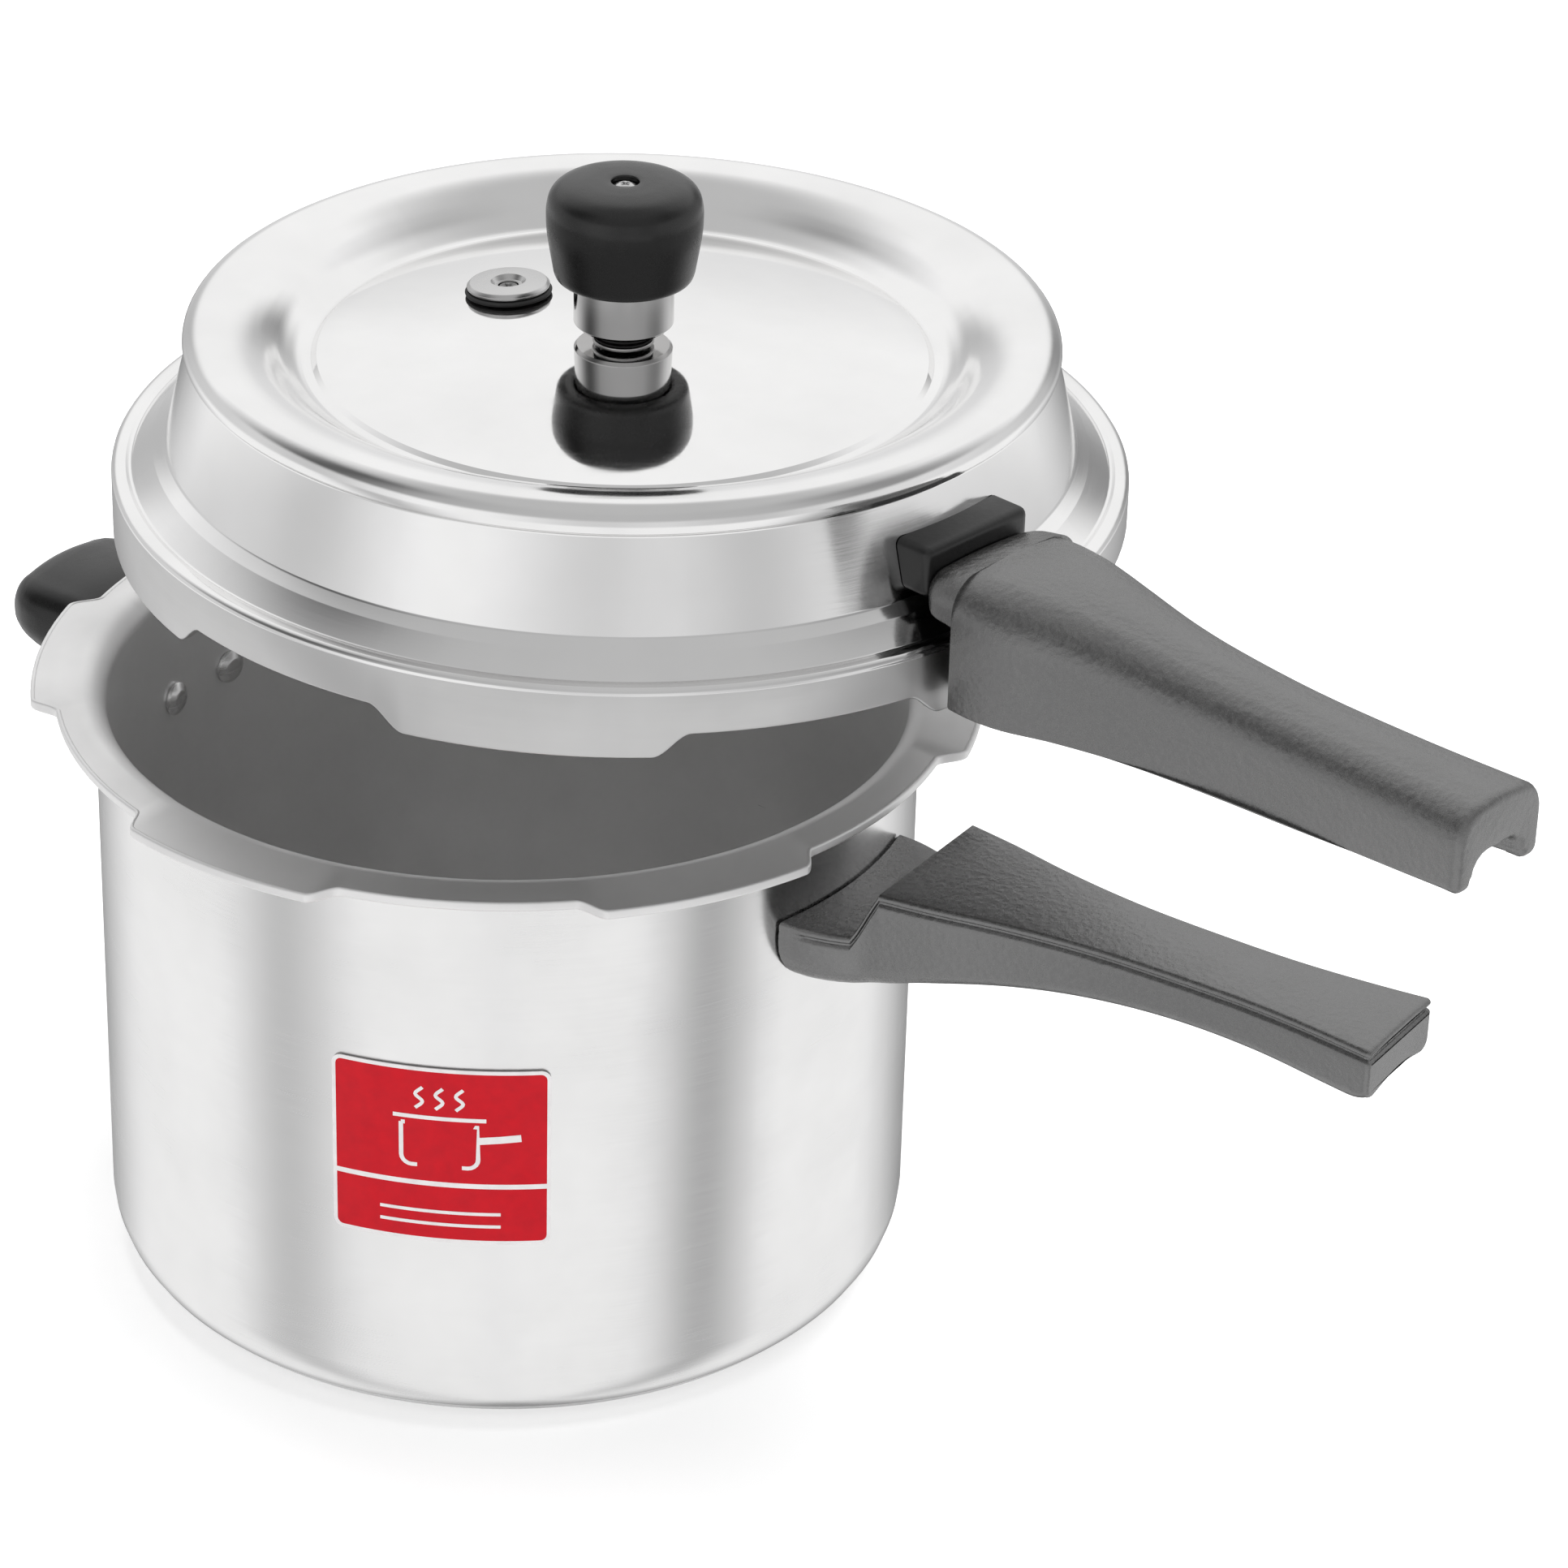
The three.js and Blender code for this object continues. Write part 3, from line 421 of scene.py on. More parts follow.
def pot_look(centre):
    """The flange and lugs, the inside, and the brushed wall and base."""
    wall, rim, inside = range(3)
    radius = math.hypot(centre.x, centre.y)
    if centre.z > 158.2 or (radius > INNER_RADIUS + 0.2 and centre.z > 156):
        return rim
    return inside if radius < INNER_RADIUS + 0.2 and centre.z > 2 else wall


pot_angles = fine_angles(LUG_CENTRES, 11.5, 16.5, 0.35)
settle(
    solid("pot_body", [skin(turned_outline(pot_section, pot_angles), True, False)],
          use(ALUMINIUM, CAST_RIM, ALUMINIUM_INSIDE), look_of=pot_look),
    "pot", "pot_aluminium", "pot_shell")


# --- Label ----------------------------------------------------------------------------------------

LABEL_ANGLE = -63
LABEL_HALF, LABEL_LOW, LABEL_HIGH = 27.3, 58.4, 108.6
LABEL_CORNER, LABEL_LINE = 2.6, 1.0
DIVIDER = (74.6, 76.0)
# The radii of the label's faces and of the printed strokes, whose backs are sunk into it.
LABEL_BACK, LABEL_FRONT = 105.32, 105.64
PRINT_BACK, PRINT_FRONT = 105.6, 105.72


def on_wall(s, z, radius):
    """A point of a flat drawing (s along the wall, z up) wrapped on the pot at a radius."""
    angle = math.radians(LABEL_ANGLE) + s / POT_RADIUS
    return radius * math.cos(angle), radius * math.sin(angle), z


def corner_drop(s, half, radius):
    """How far a rounded rectangle's edge has come in at s."""
    over = min(max(abs(s) - (half - radius), 0), radius)
    return radius - math.sqrt(max(radius * radius - over * over, 0))


def label_panel():
    """The red panel with its white border and divider."""
    inner_half, inner_corner = LABEL_HALF - LABEL_LINE, LABEL_CORNER - LABEL_LINE
    edge = LABEL_CORNER * (1 - np.cos(np.linspace(0, math.pi / 2, 9)))
    fine = np.concatenate([edge - LABEL_HALF, np.linspace(LABEL_CORNER - LABEL_HALF, 0, 22)[1:]])
    fine = sorted(set(np.round(np.concatenate([fine, -fine, [-inner_half, inner_half]]), 4)))
    rows = []
    for s in fine:
        drop = corner_drop(s, LABEL_HALF, LABEL_CORNER)
        inner = max(LABEL_LINE + corner_drop(s, inner_half, inner_corner), drop)
        low, high = LABEL_LOW + drop, LABEL_HIGH - drop
        low_in, high_in = LABEL_LOW + inner, LABEL_HIGH - inner
        heights = [low, low_in, *DIVIDER, high_in, high]
        front = [on_wall(s, z, LABEL_FRONT) for z in heights]
        back = [on_wall(s, z, LABEL_BACK) for z in reversed(heights)]
        rows.append(front + back)

    def look(centre):
        s = (math.degrees(math.atan2(centre.y, centre.x)) - LABEL_ANGLE) * math.radians(POT_RADIUS)
        drop = LABEL_LINE + corner_drop(s, inner_half, inner_corner)
        in_border = abs(s) > inner_half or not LABEL_LOW + drop < centre.z < LABEL_HIGH - drop
        return int(in_border or DIVIDER[0] < centre.z < DIVIDER[1])

    return solid("front_label_panel", [skin(rows, caps=True)], use(LABEL_RED, LABEL_WHITE), look_of=look,
                 weld=1e-3)


def ribbon(path, width):
    """A raised stroke on the label along a path of (s, z)."""
    path = np.array(path, float)
    rows = []
    for i, (s, z) in enumerate(path):
        ahead = path[min(i + 1, len(path) - 1)] - path[max(i - 1, 0)]
        across = np.array([-ahead[1], ahead[0]]) / np.linalg.norm(ahead) * width / 2
        rows.append([on_wall(s + k * across[0], z + k * across[1], r)
                     for k, r in ((-1, PRINT_BACK), (1, PRINT_BACK), (1, PRINT_FRONT), (-1, PRINT_FRONT))])
    return skin(rows, caps=True)


def label_print():
    """A generic pan with a lid, a handle and steam, and two lines in the lower panel."""
    pan = rounded([(-9.5, 92.5), (-9.5, 80.5, 2.6), (9.5, 80.5, 2.6), (9.5, 92.5), (-9.5, 92.5)], 5)
    strokes = [ribbon(pan, 1.1), ribbon(curve([(-11.5, 94.4), (0, 94.4), (11.5, 94.4)], 8), 1.1),
               ribbon([(9.5, 88.5), (15, 89), (20, 89.5)], 2.0)]
    for s in (-5, 0, 5):
        strokes.append(ribbon(curve([(s - 0.9, 97), (s + 0.9, 99), (s - 0.9, 101), (s + 0.9, 103)], 5), 0.9))
    for z in (63.6, 67.2):
        strokes.append(ribbon([(s, z) for s in np.linspace(-15, 15, 13)], 0.9))
    return solid("front_label_print", strokes, use(LABEL_WHITE))


settle(label_panel(), "pot", "label_red", "front_label")
settle(label_print(), "pot", "label_red")


# --- Fasteners ------------------------------------------------------------------------------------

BRACKET_PLATE = 3.2                 # how far the steel brackets' plates stand out from the wall
RIVET_TURN, RIVET_HEIGHT = 6.4, 127.6
LID_RIVET_TURN, LID_RIVET_HEIGHT = 6, 27
CROWN_LEAN = 13.92                  # of the crown's wall from upright, in degrees
LID_WALL, LID_BLOCK = 3.2, 5.6      # thickness between the lid rivets' heads and tails


def lying(place, turn=0.0, lean=0.0, at=(0, 0, 0)):
    """A frame whose Z lies along +X, turned about the vertical."""
    return (
        place @ Matrix.Rotation(math.radians(turn), 4, "Z") @ Matrix.Translation(at)
        @ Matrix.Rotation(math.radians(-lean), 4, "Y") @ Matrix.Rotation(math.radians(90), 4, "Y")
    )


def rivet(name, place, tail):
    """A domed rivet: its head hangs below z = 0 and its upset tail ends at the given height."""
    outline = rounded([
        (0, -2.2), (2.6, -2.1, 1.5), (4.6, -0.9, 1.2), (4.6, 0, 0.3), (2.4, 0), (2.4, tail - 1.0),
        (3.3, tail - 0.9, 0.3), (2.9, tail, 0.5), (0, tail),
    ])
    return lathe(name, outline, use(RIVET), place, 40)


def cross_recess(name, place, arm, width, depth, top):
    """The two cutters of a tapered cross for a driver, with its top at a height."""
    cutters = []
    for number, along_x in enumerate((True, False)):
        rows = []
        for z, grow in ((top + 0.5, 1.0), (top - depth, 0.55)):
            a, b = (arm * grow, width / 2) if along_x else (width / 2, arm * grow)
            rows.append([(-a, -b, z), (a, -b, z), (a, b, z), (-a, b, z)])
        cutters.append(solid(f"{name}_cut{number}", [skin(rows, caps=True)], [], place))
    return cutters


def screw(name, place, shank, length, head, height, body, slot, node):
    """A pan-head screw that points along +Z, with its head below z = 0 and a cross recess."""
    outline = rounded([
        (0, -height), (head * 0.5, -height, 1.2), (head, -height * 0.45, 1.0), (head, 0, 0.2), (shank, 0),
        (shank, length - 0.8), (shank - 0.7, length), (0, length),
    ])
    made = lathe(name, outline, use(STEEL), place, 48)
    flipped = place @ Matrix.Rotation(math.pi, 4, "X")
    for cutter in cross_recess(name, flipped, head * 0.55, head * 0.24, height * 0.55, height):
        carve(made, cutter)
    return settle(made, body, slot, node)


for side, sign in (("near", -1), ("far", 1)):
    for handle, around in (("pot_handle", 0), ("helper_handle", 180)):
        node = f"{handle}_rivet_{side}"
        # The helper's bracket is the long handle's turned round, so its near rivet is on the other side.
        turn = sign * RIVET_TURN if around == 0 else -sign * RIVET_TURN
        place = lying(HERE, around + turn, 0, (INNER_RADIUS - 0.1, 0, RIVET_HEIGHT))
        settle(rivet(node + "_head", place, POT_RADIUS + BRACKET_PLATE - INNER_RADIUS), "pot",
               "rivet_aluminium", node)
    wall = 112.2 - 8.8 * math.tan(math.radians(CROWN_LEAN))
    lid_place = lying(LID_PLACE, sign * LID_RIVET_TURN, CROWN_LEAN, (wall, 0, LID_RIVET_HEIGHT))
    lid_place = lid_place @ Matrix.Translation((0, 0, -LID_WALL))
    node = f"lid_handle_rivet_{side}"
    settle(rivet(node + "_head", lid_place, LID_WALL + LID_BLOCK), "lid", "rivet_aluminium", node)
screw("pot_handle_screw_cross", Matrix.Translation((138, 0, 128.7)), 2, 6.2, 4, 2.4,
      "pot", "fastener_steel", "pot_handle_screw")
screw("helper_handle_screw_cross", Matrix.Translation((-126, 0, 128.7)), 2, 6.2, 4, 2.4,
      "pot", "fastener_steel", "helper_handle_screw")
screw("lid_handle_screw_cross", LID_PLACE @ Matrix.Translation((138, 0, 14.7)), 2, 9, 4, 2.4,
      "lid", "fastener_steel", "lid_handle_screw")


# --- Handles --------------------------------------------------------------------------------------

def bar(name, stations, half_section, looks, place=HERE, end_round=1.2, start=None, sharp=38, dent=None):
    """A handle along +X. half_section(x) gives (y, z) points on +y from the lower middle to the upper
    middle. The last station's edge is rounded over, start(y) bends the first one to a wall, and dent(z)
    sinks a line across the end face."""
    rows = []
    for number, x in enumerate(stations):
        half = np.array(half_section(x))
        ring = np.vstack([half, half[::-1][1:-1] * (-1, 1)])
        xs = np.full(len(ring), float(x))
        if start and number == 0:
            xs = np.array([start(y) for y in ring[:, 0]])
        rows.append(np.column_stack([xs, ring]))
    last = rows[-1]
    flat = last[:, 1:]
    before, after = np.roll(flat, 1, 0), np.roll(flat, -1, 0)
    tangent = after - before
    tangent /= np.maximum(np.linalg.norm(tangent, axis=1), 1e-9)[:, None]
    inward = np.column_stack([-tangent[:, 1], tangent[:, 0]])
    rounding = 5
    for s, c in quarter(rounding, 1):
        moved = flat + inward * end_round * (1 - c)
        rows.append(np.column_stack([last[:, 0] + end_round * s, moved]))
    verts, faces = skin(rows, caps=True)
    if dent:
        # The end cap is one polygon up to the point numbered below on each side, and strips above it,
        # so that the sunk points bend only the strips.
        count = len(flat)
        base, below = len(verts) - count, 12
        across = [range(-below, below + 1)] + [(i, i + 1, -i - 1, -i) for i in range(below, count // 2)]
        faces[-1:] = [tuple(base + k % count for k in face) for face in across]
        for row in range(-rounding - 1, 0):
            ring = slice(len(verts) + row * count, len(verts) + (row + 1) * count)
            verts[ring, 0] -= [dent(z) for z in last[:, 2]]
    return solid(name, [(verts, faces)], use(*looks), place, sharp=sharp)


def to_wall(y):
    """Where a pot handle's root meets the body, just off its wall."""
    return math.sqrt(105.6 ** 2 - y * y)


SHELF_TOP, GRIP_TOP = 137, 150.5
POT_GRIP_WIDTH = [(102, 28), (110, 27), (117, 25), (122, 22.8), (128, 21.8), (140, 19.8), (156, 16.4),
                  (178, 13.2), (204, 12), (226, 12.2), (246, 14), (258, 15.6)]
POT_GRIP_BELLY = [(102, 118.2), (118, 119.6), (138, 126.4), (158, 131.4), (180, 134.8), (204, 136.8),
                  (226, 136.6), (246, 135.6), (258, 135.4)]
POT_GRIP_CORNER = [(102, 13), (118, 12), (132, 8), (150, 5.5), (180, 4.2), (258, 3.4)]


def pot_handle_top(x):
    """The root's shelf, a slope with a rounded foot and edge, and the grip's flat top."""
    t = (x - 119.8) / (126.8 - 119.8)
    if t <= 0:
        return SHELF_TOP
    if x > 126.4:
        return GRIP_TOP
    return SHELF_TOP + (GRIP_TOP - SHELF_TOP) * (0.75 * min(t, 1) + 0.25 * smooth(t))


def pot_handle_half(x):
    """An arched belly with round corners, upright sides, the line that runs round under the top, and
    the top, which is crowned a little."""
    width, top = along(POT_GRIP_WIDTH, x), pot_handle_top(x)
    turn_up = min(max((x - 251.5) / 6.5, 0), 1)
    low = along(POT_GRIP_BELLY, x) + 3.2 * (1 - math.sqrt(1 - turn_up ** 2))
    arch = 1.6 * smooth((x - 150) / 80)
    corner = along(POT_GRIP_CORNER, x)
    points = [(width * t, low + arch * (1 - (t / 0.72) ** 2) if t < 0.72 else low)
              for t in np.linspace(0, 1, 9)[:-1]]
    points = [(y, z) for y, z in points if y < width - corner - 0.5]
    points = resample(points + [(width - corner, low)], 8)
    points += [(width - corner + corner * s, low + corner * (1 - c)) for s, c in quarter(8, 1)]
    upper = top - 3.5
    points += [(width, low + corner + (upper - low - corner) * t) for t in np.linspace(0, 1, 6)[1:]]
    deep = 0.9 * smooth((x - 104) / 6)
    points += [(width - 0.3 * deep, top - 3.1), (width - deep, top - 2.6), (width - deep, top - 2.1),
               (width - 0.3 * deep, top - 1.6), (width - 0.1, top - 1.25)]
    points += [(width - 1.2 + 1.2 * c, top - 1.2 + 1.2 * s) for s, c in quarter(5, 1)]
    crown = 0.5 * smooth((x - 128) / 10)
    points += [((width - 1.2) * t, top + crown * (1 - t * t)) for t in (0.75, 0.5, 0.25, 0)]
    return points


pot_stations = [105.5, 107, 109, 112, 115, 117.5, 119.2, 119.8, 120.5, 121.5, 122.6, 123.8, 125, 126,
                126.6, 127.2, 128, 129.5, *np.linspace(132, 250, 40), 252, 253.6, 255, 256, 256.8]
settle(bar("pot_handle_grip", pot_stations, pot_handle_half, (BAKELITE,), start=to_wall,
           dent=lambda z: 0.8 if 147.8 < z < 148.5 else 0.0),
       "pot", "handle_bakelite", "pot_handle")


HELPER_WIDTH = [(100, 24.5), (112, 24.4), (126, 22.1), (141, 22)]
HELPER_TOP = [(100, 146), (107, 146.2), (114, 147.3), (122, 149.6), (130, 150.9), (137, 151), (146, 151)]
HELPER_LOW = [(100, 119), (112, 119.2), (118, 120), (124, 123.8), (130, 127.6), (138, 130.8), (149, 134.6)]


def helper_half(x):
    """The short handle, told in its own frame with +X outwards. Its sides, top and belly round over
    to its end, each from its own place."""
    width, top, low = along(HELPER_WIDTH, x), along(HELPER_TOP, x), along(HELPER_LOW, x)
    if x > 141:
        width = 9 + math.sqrt(max(13 ** 2 - (x - 141) ** 2, 0))
    if x > 146:
        top = 143 + math.sqrt(max(64 - (x - 146) ** 2, 0))
    if x > 149:
        low = 142.2 - math.sqrt(max(1 - ((x - 149) / 5.02) ** 2, 0)) * 7.6
    height = top - low
    corner = min(9.0, height * 0.46)
    points = [(t * (width - corner), low) for t in np.linspace(0, 1, 6)[:-1]]
    points += [(width - corner + corner * s, low + corner * (1 - c)) for s, c in quarter(8)]
    upper = min(7.0, height * 0.46)
    points += [(width - upper + upper * c, top - upper + upper * s) for s, c in quarter(8)]
    crown = min(1.2, height * 0.1)
    points += [(t * (width - upper), top + crown * (1 - t * t)) for t in (0.75, 0.5, 0.25, 0)]
    return points


helper_stations = [105.5, 108, 111, 114, 117, 120, 124, 128, 132, 136, 139, 142, 145, 147, 149, 150, 151,
                   152, 152.7, 153.3, 153.7, 153.95]
settle(bar("helper_handle_grip", helper_stations, helper_half, (BLACK_BAKELITE,),
           Matrix.Rotation(math.pi, 4, "Z"), end_round=0.05, start=to_wall),
       "pot", "black_bakelite", "helper_handle")


LID_GRIP_WIDTH = [(118, 17.4), (121, 20), (127, 21.4), (133, 22.2), (142, 22), (158, 18.6), (178, 15.4),
                  (202, 13.6), (226, 13.4), (250, 14), (271, 15)]
LID_GRIP_TOP = [(118, 27.4), (121, 29), (126, 30.3), (136, 31), (150, 30.2), (176, 27.2), (206, 25),
                (238, 24.2), (271, 24)]
LID_GRIP_LOW = [(129, -2.6), (140, -2.2), (160, -0.6), (190, 1.4), (220, 2.8), (250, 3.6), (271, 4)]
LID_GRIP_SHOULDER = [(118, 5), (124, 9), (136, 12), (160, 11), (200, 9.5), (271, 8.5)]
LID_CHANNEL = [(148, 13), (176, 10.4), (200, 8.6), (226, 8.2), (272, 9.2)]
# Along the lid's handle: the pocket over the bracket's tongue ends, the long hollow starts behind the
# solid part that takes the screw, and the end wall with its arched notch starts.
POCKET_END, HOLLOW_START, END_WALL = 129, 147.9, 266


def lid_handle_half(x):
    """The roof of the pocket, hollow or notch with its soft corner, or a flat belly where there is
    none, then the side's rounded foot and the wide shoulder up to the top."""
    width, top = along(LID_GRIP_WIDTH, x), along(LID_GRIP_TOP, x)
    low = along(LID_GRIP_LOW, x)
    channel, ceiling, soft = 0.0, low, 4.0
    if x < POCKET_END:
        low, channel, ceiling = 18.5, 15.3, 24.8
    elif x > END_WALL:
        channel, ceiling, soft = 8.8, 11.4, 4.4
    elif x > HOLLOW_START:
        channel, ceiling = along(LID_CHANNEL, max(x, 148)), 16.0
    points = []
    soft = min(soft, max(ceiling - low - 0.2, 0))
    lip = along([(118, 0.8), (258, 0.8), (267, 2.2)], x)
    if channel:
        points += [(t * (channel - soft - 0.6), ceiling) for t in (0, 0.33, 0.66)]
        points += [(channel - soft - 0.6 + soft * s, ceiling - soft * (1 - c)) for s, c in quarter(4)]
        points.append((channel - 0.2, (ceiling - soft + low + lip) / 2))
        points += [(channel + lip * (1 - c), low + lip * (1 - s)) for s, c in quarter(3)]
    else:
        points += [(t * (width - 2.5), low) for t in np.linspace(0, 1, 13)]
    side = along([(118, 1.6), (258, 1.6), (267, 2.8)], x)
    points += [(width - side + side * s, low + side * (1 - c)) for s, c in quarter(4)]
    shoulder = min(along(LID_GRIP_SHOULDER, x), (top - low) * 0.7, width * 0.68)
    points += [(width - shoulder + shoulder * c, top - shoulder + shoulder * s) for s, c in quarter(10)]
    points += [(t * (width - shoulder), top + 0.5 * (1 - t * t)) for t in (0.66, 0.33, 0)]
    return points


lid_stations = [118, 118.4, 119, 120, 121.5, 123.5, 126, 128.99, 129.01, 131, 134, 138, 142, 145,
                147.89, 147.91, *np.linspace(151, 265.98, 42), 266.02, 268, 268.9]
settle(bar("lid_handle_grip", lid_stations, lid_handle_half, (BAKELITE,), LID_PLACE, end_round=2.1),
       "lid", "handle_bakelite", "lid_handle")

settle(bevelled("pot_handle_bracket", use(BRACKET_STEEL), 0.4), "pot", "bracket_steel", "pot_handle_bracket")
settle(bevelled("helper_handle_bracket", use(BRACKET_STEEL), 0.4), "pot", "bracket_steel",
       "helper_handle_bracket")


def block(x0, x1, half, low, high, radius, hug=False):
    """A box along +X with rounded edges, whose inner end can follow the crown's leaning wall."""
    bm = bmesh.new()
    size = Matrix.Diagonal((x1 - x0, 2 * half, high - low, 1))
    bmesh.ops.create_cube(bm, size=1, matrix=Matrix.Translation(((x0 + x1) / 2, 0, (low + high) / 2)) @ size)
    bmesh.ops.bevel(bm, geom=bm.edges[:], offset=radius, segments=4, profile=0.5, affect="EDGES")
    bm.verts.index_update()
    points = np.array([v.co[:] for v in bm.verts])
    faces = [[v.index for v in face.verts] for face in bm.faces]
    bm.free()
    if hug:
        inner = points[:, 0] < (x0 + x1) / 2
        wall = np.interp(points[inner, 2], [18.3, 41.4], [112.4, 106.6])  # radius of the crown's wall
        points[inner, 0] = np.sqrt(wall ** 2 - points[inner, 1] ** 2)
    return points, faces


# The bracket's blocks between the crown's wall and the handle. Their near-black is partly the bracket's own
# dark colour and partly painted shade of the gap between the wall and the handle's root.
bracket_blocks = [
    block(106, 117.6, 17.6, 20.4, 33, 2.2, hug=True), block(114, 128.4, 15, 20.4, 24.5, 0.8),
    block(126, 128.4, 15, -1, 22, 0.7), block(127.2, 146, 9, 20.4, 24.5, 0.5),
]
settle(solid("lid_handle_bracket_block", bracket_blocks, use(BLACK_PAINT_AND_SHADE), LID_PLACE),
       "lid", "lid_bracket_black", "lid_handle_bracket")


# --- Lid ------------------------------------------------------------------------------------------

TAB_CENTRES = [5 + 60 * k for k in range(6)]
PLATE_RADIUS, PLATE_TOP, PLATE_RISE = 75.3, 44, 5


def dome(radius, drop=0.0):
    """A point of the lid's domed plate."""
    return radius, PLATE_TOP - PLATE_RISE * (radius / PLATE_RADIUS) ** 2 - drop


def lid_section(degrees):
    """The lid's outline at an angle: the plate, the ring round it, the crown's wall, the shoulder, the
    skirt with its tabs, and back along the inside."""
    off = away(degrees, TAB_CENTRES)
    low = -5.9 * smooth((17.6 - off) / 4.2)
    hook = 122.9 - 5.7 * smooth((11.3 - off) / 0.6)
    edge = [
        *[dome(r) for r in (0, 12, 24, 36, 48, 60, 70)], (74.9, 39.1, 0.3), (76.2, 38.2, 0.5),
        *curve([(78.2, 38.0), (79.8, 38.5), (81.6, 39.5), (83.6, 40.8), (86.0, 42.8), (88.5, 44.7),
                (91.6, 46.5), (95, 47.75), (98.6, 48.35), (102.3, 48.5)], 4),
        *arc(102.3, 43.5, 5, 80, 0, 10), (107.1, 42.2, 0.5), (106.3, 41.4, 0.8),
        (112.15, 18.3, 1.2), (115.3, 16.2, 1.6), (120.7, 11.35, 0.8), (121.9, 12.0, 0.5), (125.4, 12.0, 3.2),
        (125.4, low, 0.8), (hook, low, 0.6), (hook, low + 2.8, 0.4), (122.9, low + 2.8, 0.4),
        (122.9, 7.2, 1.0), (120.2, 8.8, 0.8), (113.6, 13.6, 1.0), (109.7, 17.2, 1.5), (104, 40.9, 1.5),
        (102.4, 46, 1.5), (96, 45, 2), (90.2, 42.5, 2), (85.2, 38.6, 2), (80.6, 35.9, 2),
        *[dome(r, 2.5) for r in (75, 60, 40, 20, 0)],
    ]
    return rounded(edge, 4)


def outer_wall(z):
    """The lid's outer radius at a height, to tell its inside from its outside."""
    if z > 37.4:
        return 0
    return float(np.interp(z, [0, 11, 12, 16.2, 18.3, 37.4], [125.4, 120.7, 120.7, 115.3, 112.1, 107.4]))


def lid_look(centre):
    """Polish outside, the sunk plate like a mirror, a softer skirt and a plain inside."""
    polish, skirt, mirror, inside = range(4)
    radius = math.hypot(centre.x, centre.y)
    if radius < 75.6 and centre.z > 36.4 + PLATE_RISE * (1 - (radius / PLATE_RADIUS) ** 2):
        return mirror
    if radius > 124.9 and centre.z < 10:
        return skirt
    if centre.z < 2 or radius < outer_wall(centre.z) - 1.2:
        return inside
    return polish


lid_angles = fine_angles(TAB_CENTRES, 10.6, 18.0, 0.3)
lid_body = solid("lid_body", [skin(turned_outline(lid_section, lid_angles), True, False)],
                 use(LID_POLISH, LID_SKIRT, LID_MIRROR, LID_INSIDE), LID_PLACE, lid_look)
settle(lid_body, "lid", "lid_aluminium", "lid_shell")

ring_outline = rounded([
    (110.4, 2.4, 0.5), (121.6, 2.4, 0.8), (122, 4.6, 0.8), (120.4, 7.2, 0.8), (117.4, 8.6, 0.8),
    (114.6, 8.4, 0.8), (113.8, 5.6, 0.8), (110.4, 4.4, 0.5),
])
settle(lathe("sealing_ring_body", ring_outline, use(RUBBER), LID_PLACE, 180, closed=True),
       "sealing_ring", "sealing_rubber", "sealing_ring")


# --- Vent, weight and knob ------------------------------------------------------------------------

vent_outline = rounded([
    (1.6, 32.5), (4, 32.5, 0.3), (4, 44.9), (7.6, 44.9, 0.2), (7.6, 45.9, 0.3), (4.5, 46.2, 0.8),
    (4.2, 49, 0.5), (3.6, 64.5, 0.4), (2.6, 65.5, 0.3), (1.6, 63.5),
])
settle(lathe("vent_tube_turned", vent_outline, use(STEEL), LID_PLACE, 64, closed=True), "lid", "vent_steel",
       "vent_tube")
washer = rounded([(4.3, 44.2, 0.2), (7.4, 44.2, 0.2), (7.4, 44.7, 0.2), (4.3, 44.7, 0.2)])
settle(lathe("vent_seal_washer", washer, use(RUBBER), LID_PLACE, 64, closed=True), "lid", "sealing_rubber",
       "vent_seal")


def hexagon_nut(name, across, bore, low, high, place, body, slot, node):
    """A hexagon nut, chamfered where its corners meet both faces."""
    def section(degrees):
        flat = across / 2 * math.cos(math.pi / 6) / math.cos(math.radians((degrees + 30) % 60 - 30))
        inner = across / 2 * math.cos(math.pi / 6)
        slope = (flat - inner) * 0.55
        return [(bore, low + 0.3), (bore + 0.4, low), (inner * 0.97, low), (flat, low + slope + 0.1),
                (flat, high - slope - 0.1), (inner * 0.97, high), (bore + 0.4, high), (bore, high - 0.3)]
    rows = turned_outline(section, np.arange(0, 360, 5))
    return settle(solid(name, [skin(rows, True, True)], use(STEEL), place, sharp=20), body, slot, node)


hexagon_nut("vent_nut_hexagon", 17, 4.2, 36.2, 41.2, LID_PLACE, "lid", "vent_steel", "vent_nut")

weight_outline = rounded([
    (6, 46.7, 0.3), (11.5, 46.7), (12.3, 47.5, 0.4), (12.3, 68.4), (11.7, 69), (2.3, 69), (2.3, 67.1),
    (4.8, 66.1), (4.8, 47.9),
])
settle(lathe("regulator_weight_turned", weight_outline, use(CHROME), LID_PLACE, 120, closed=True),
       "regulator", "weight_chrome", "regulator_weight")
pin_outline = rounded([(0, 62.1), (0.7, 62.7, 0.3), (2, 66.1, 0.4), (2, 71, 0.3), (0, 71)])
settle(lathe("regulator_pin_turned", pin_outline, use(STEEL), LID_PLACE, 40), "regulator_pin", "vent_steel",
       "regulator_pin")

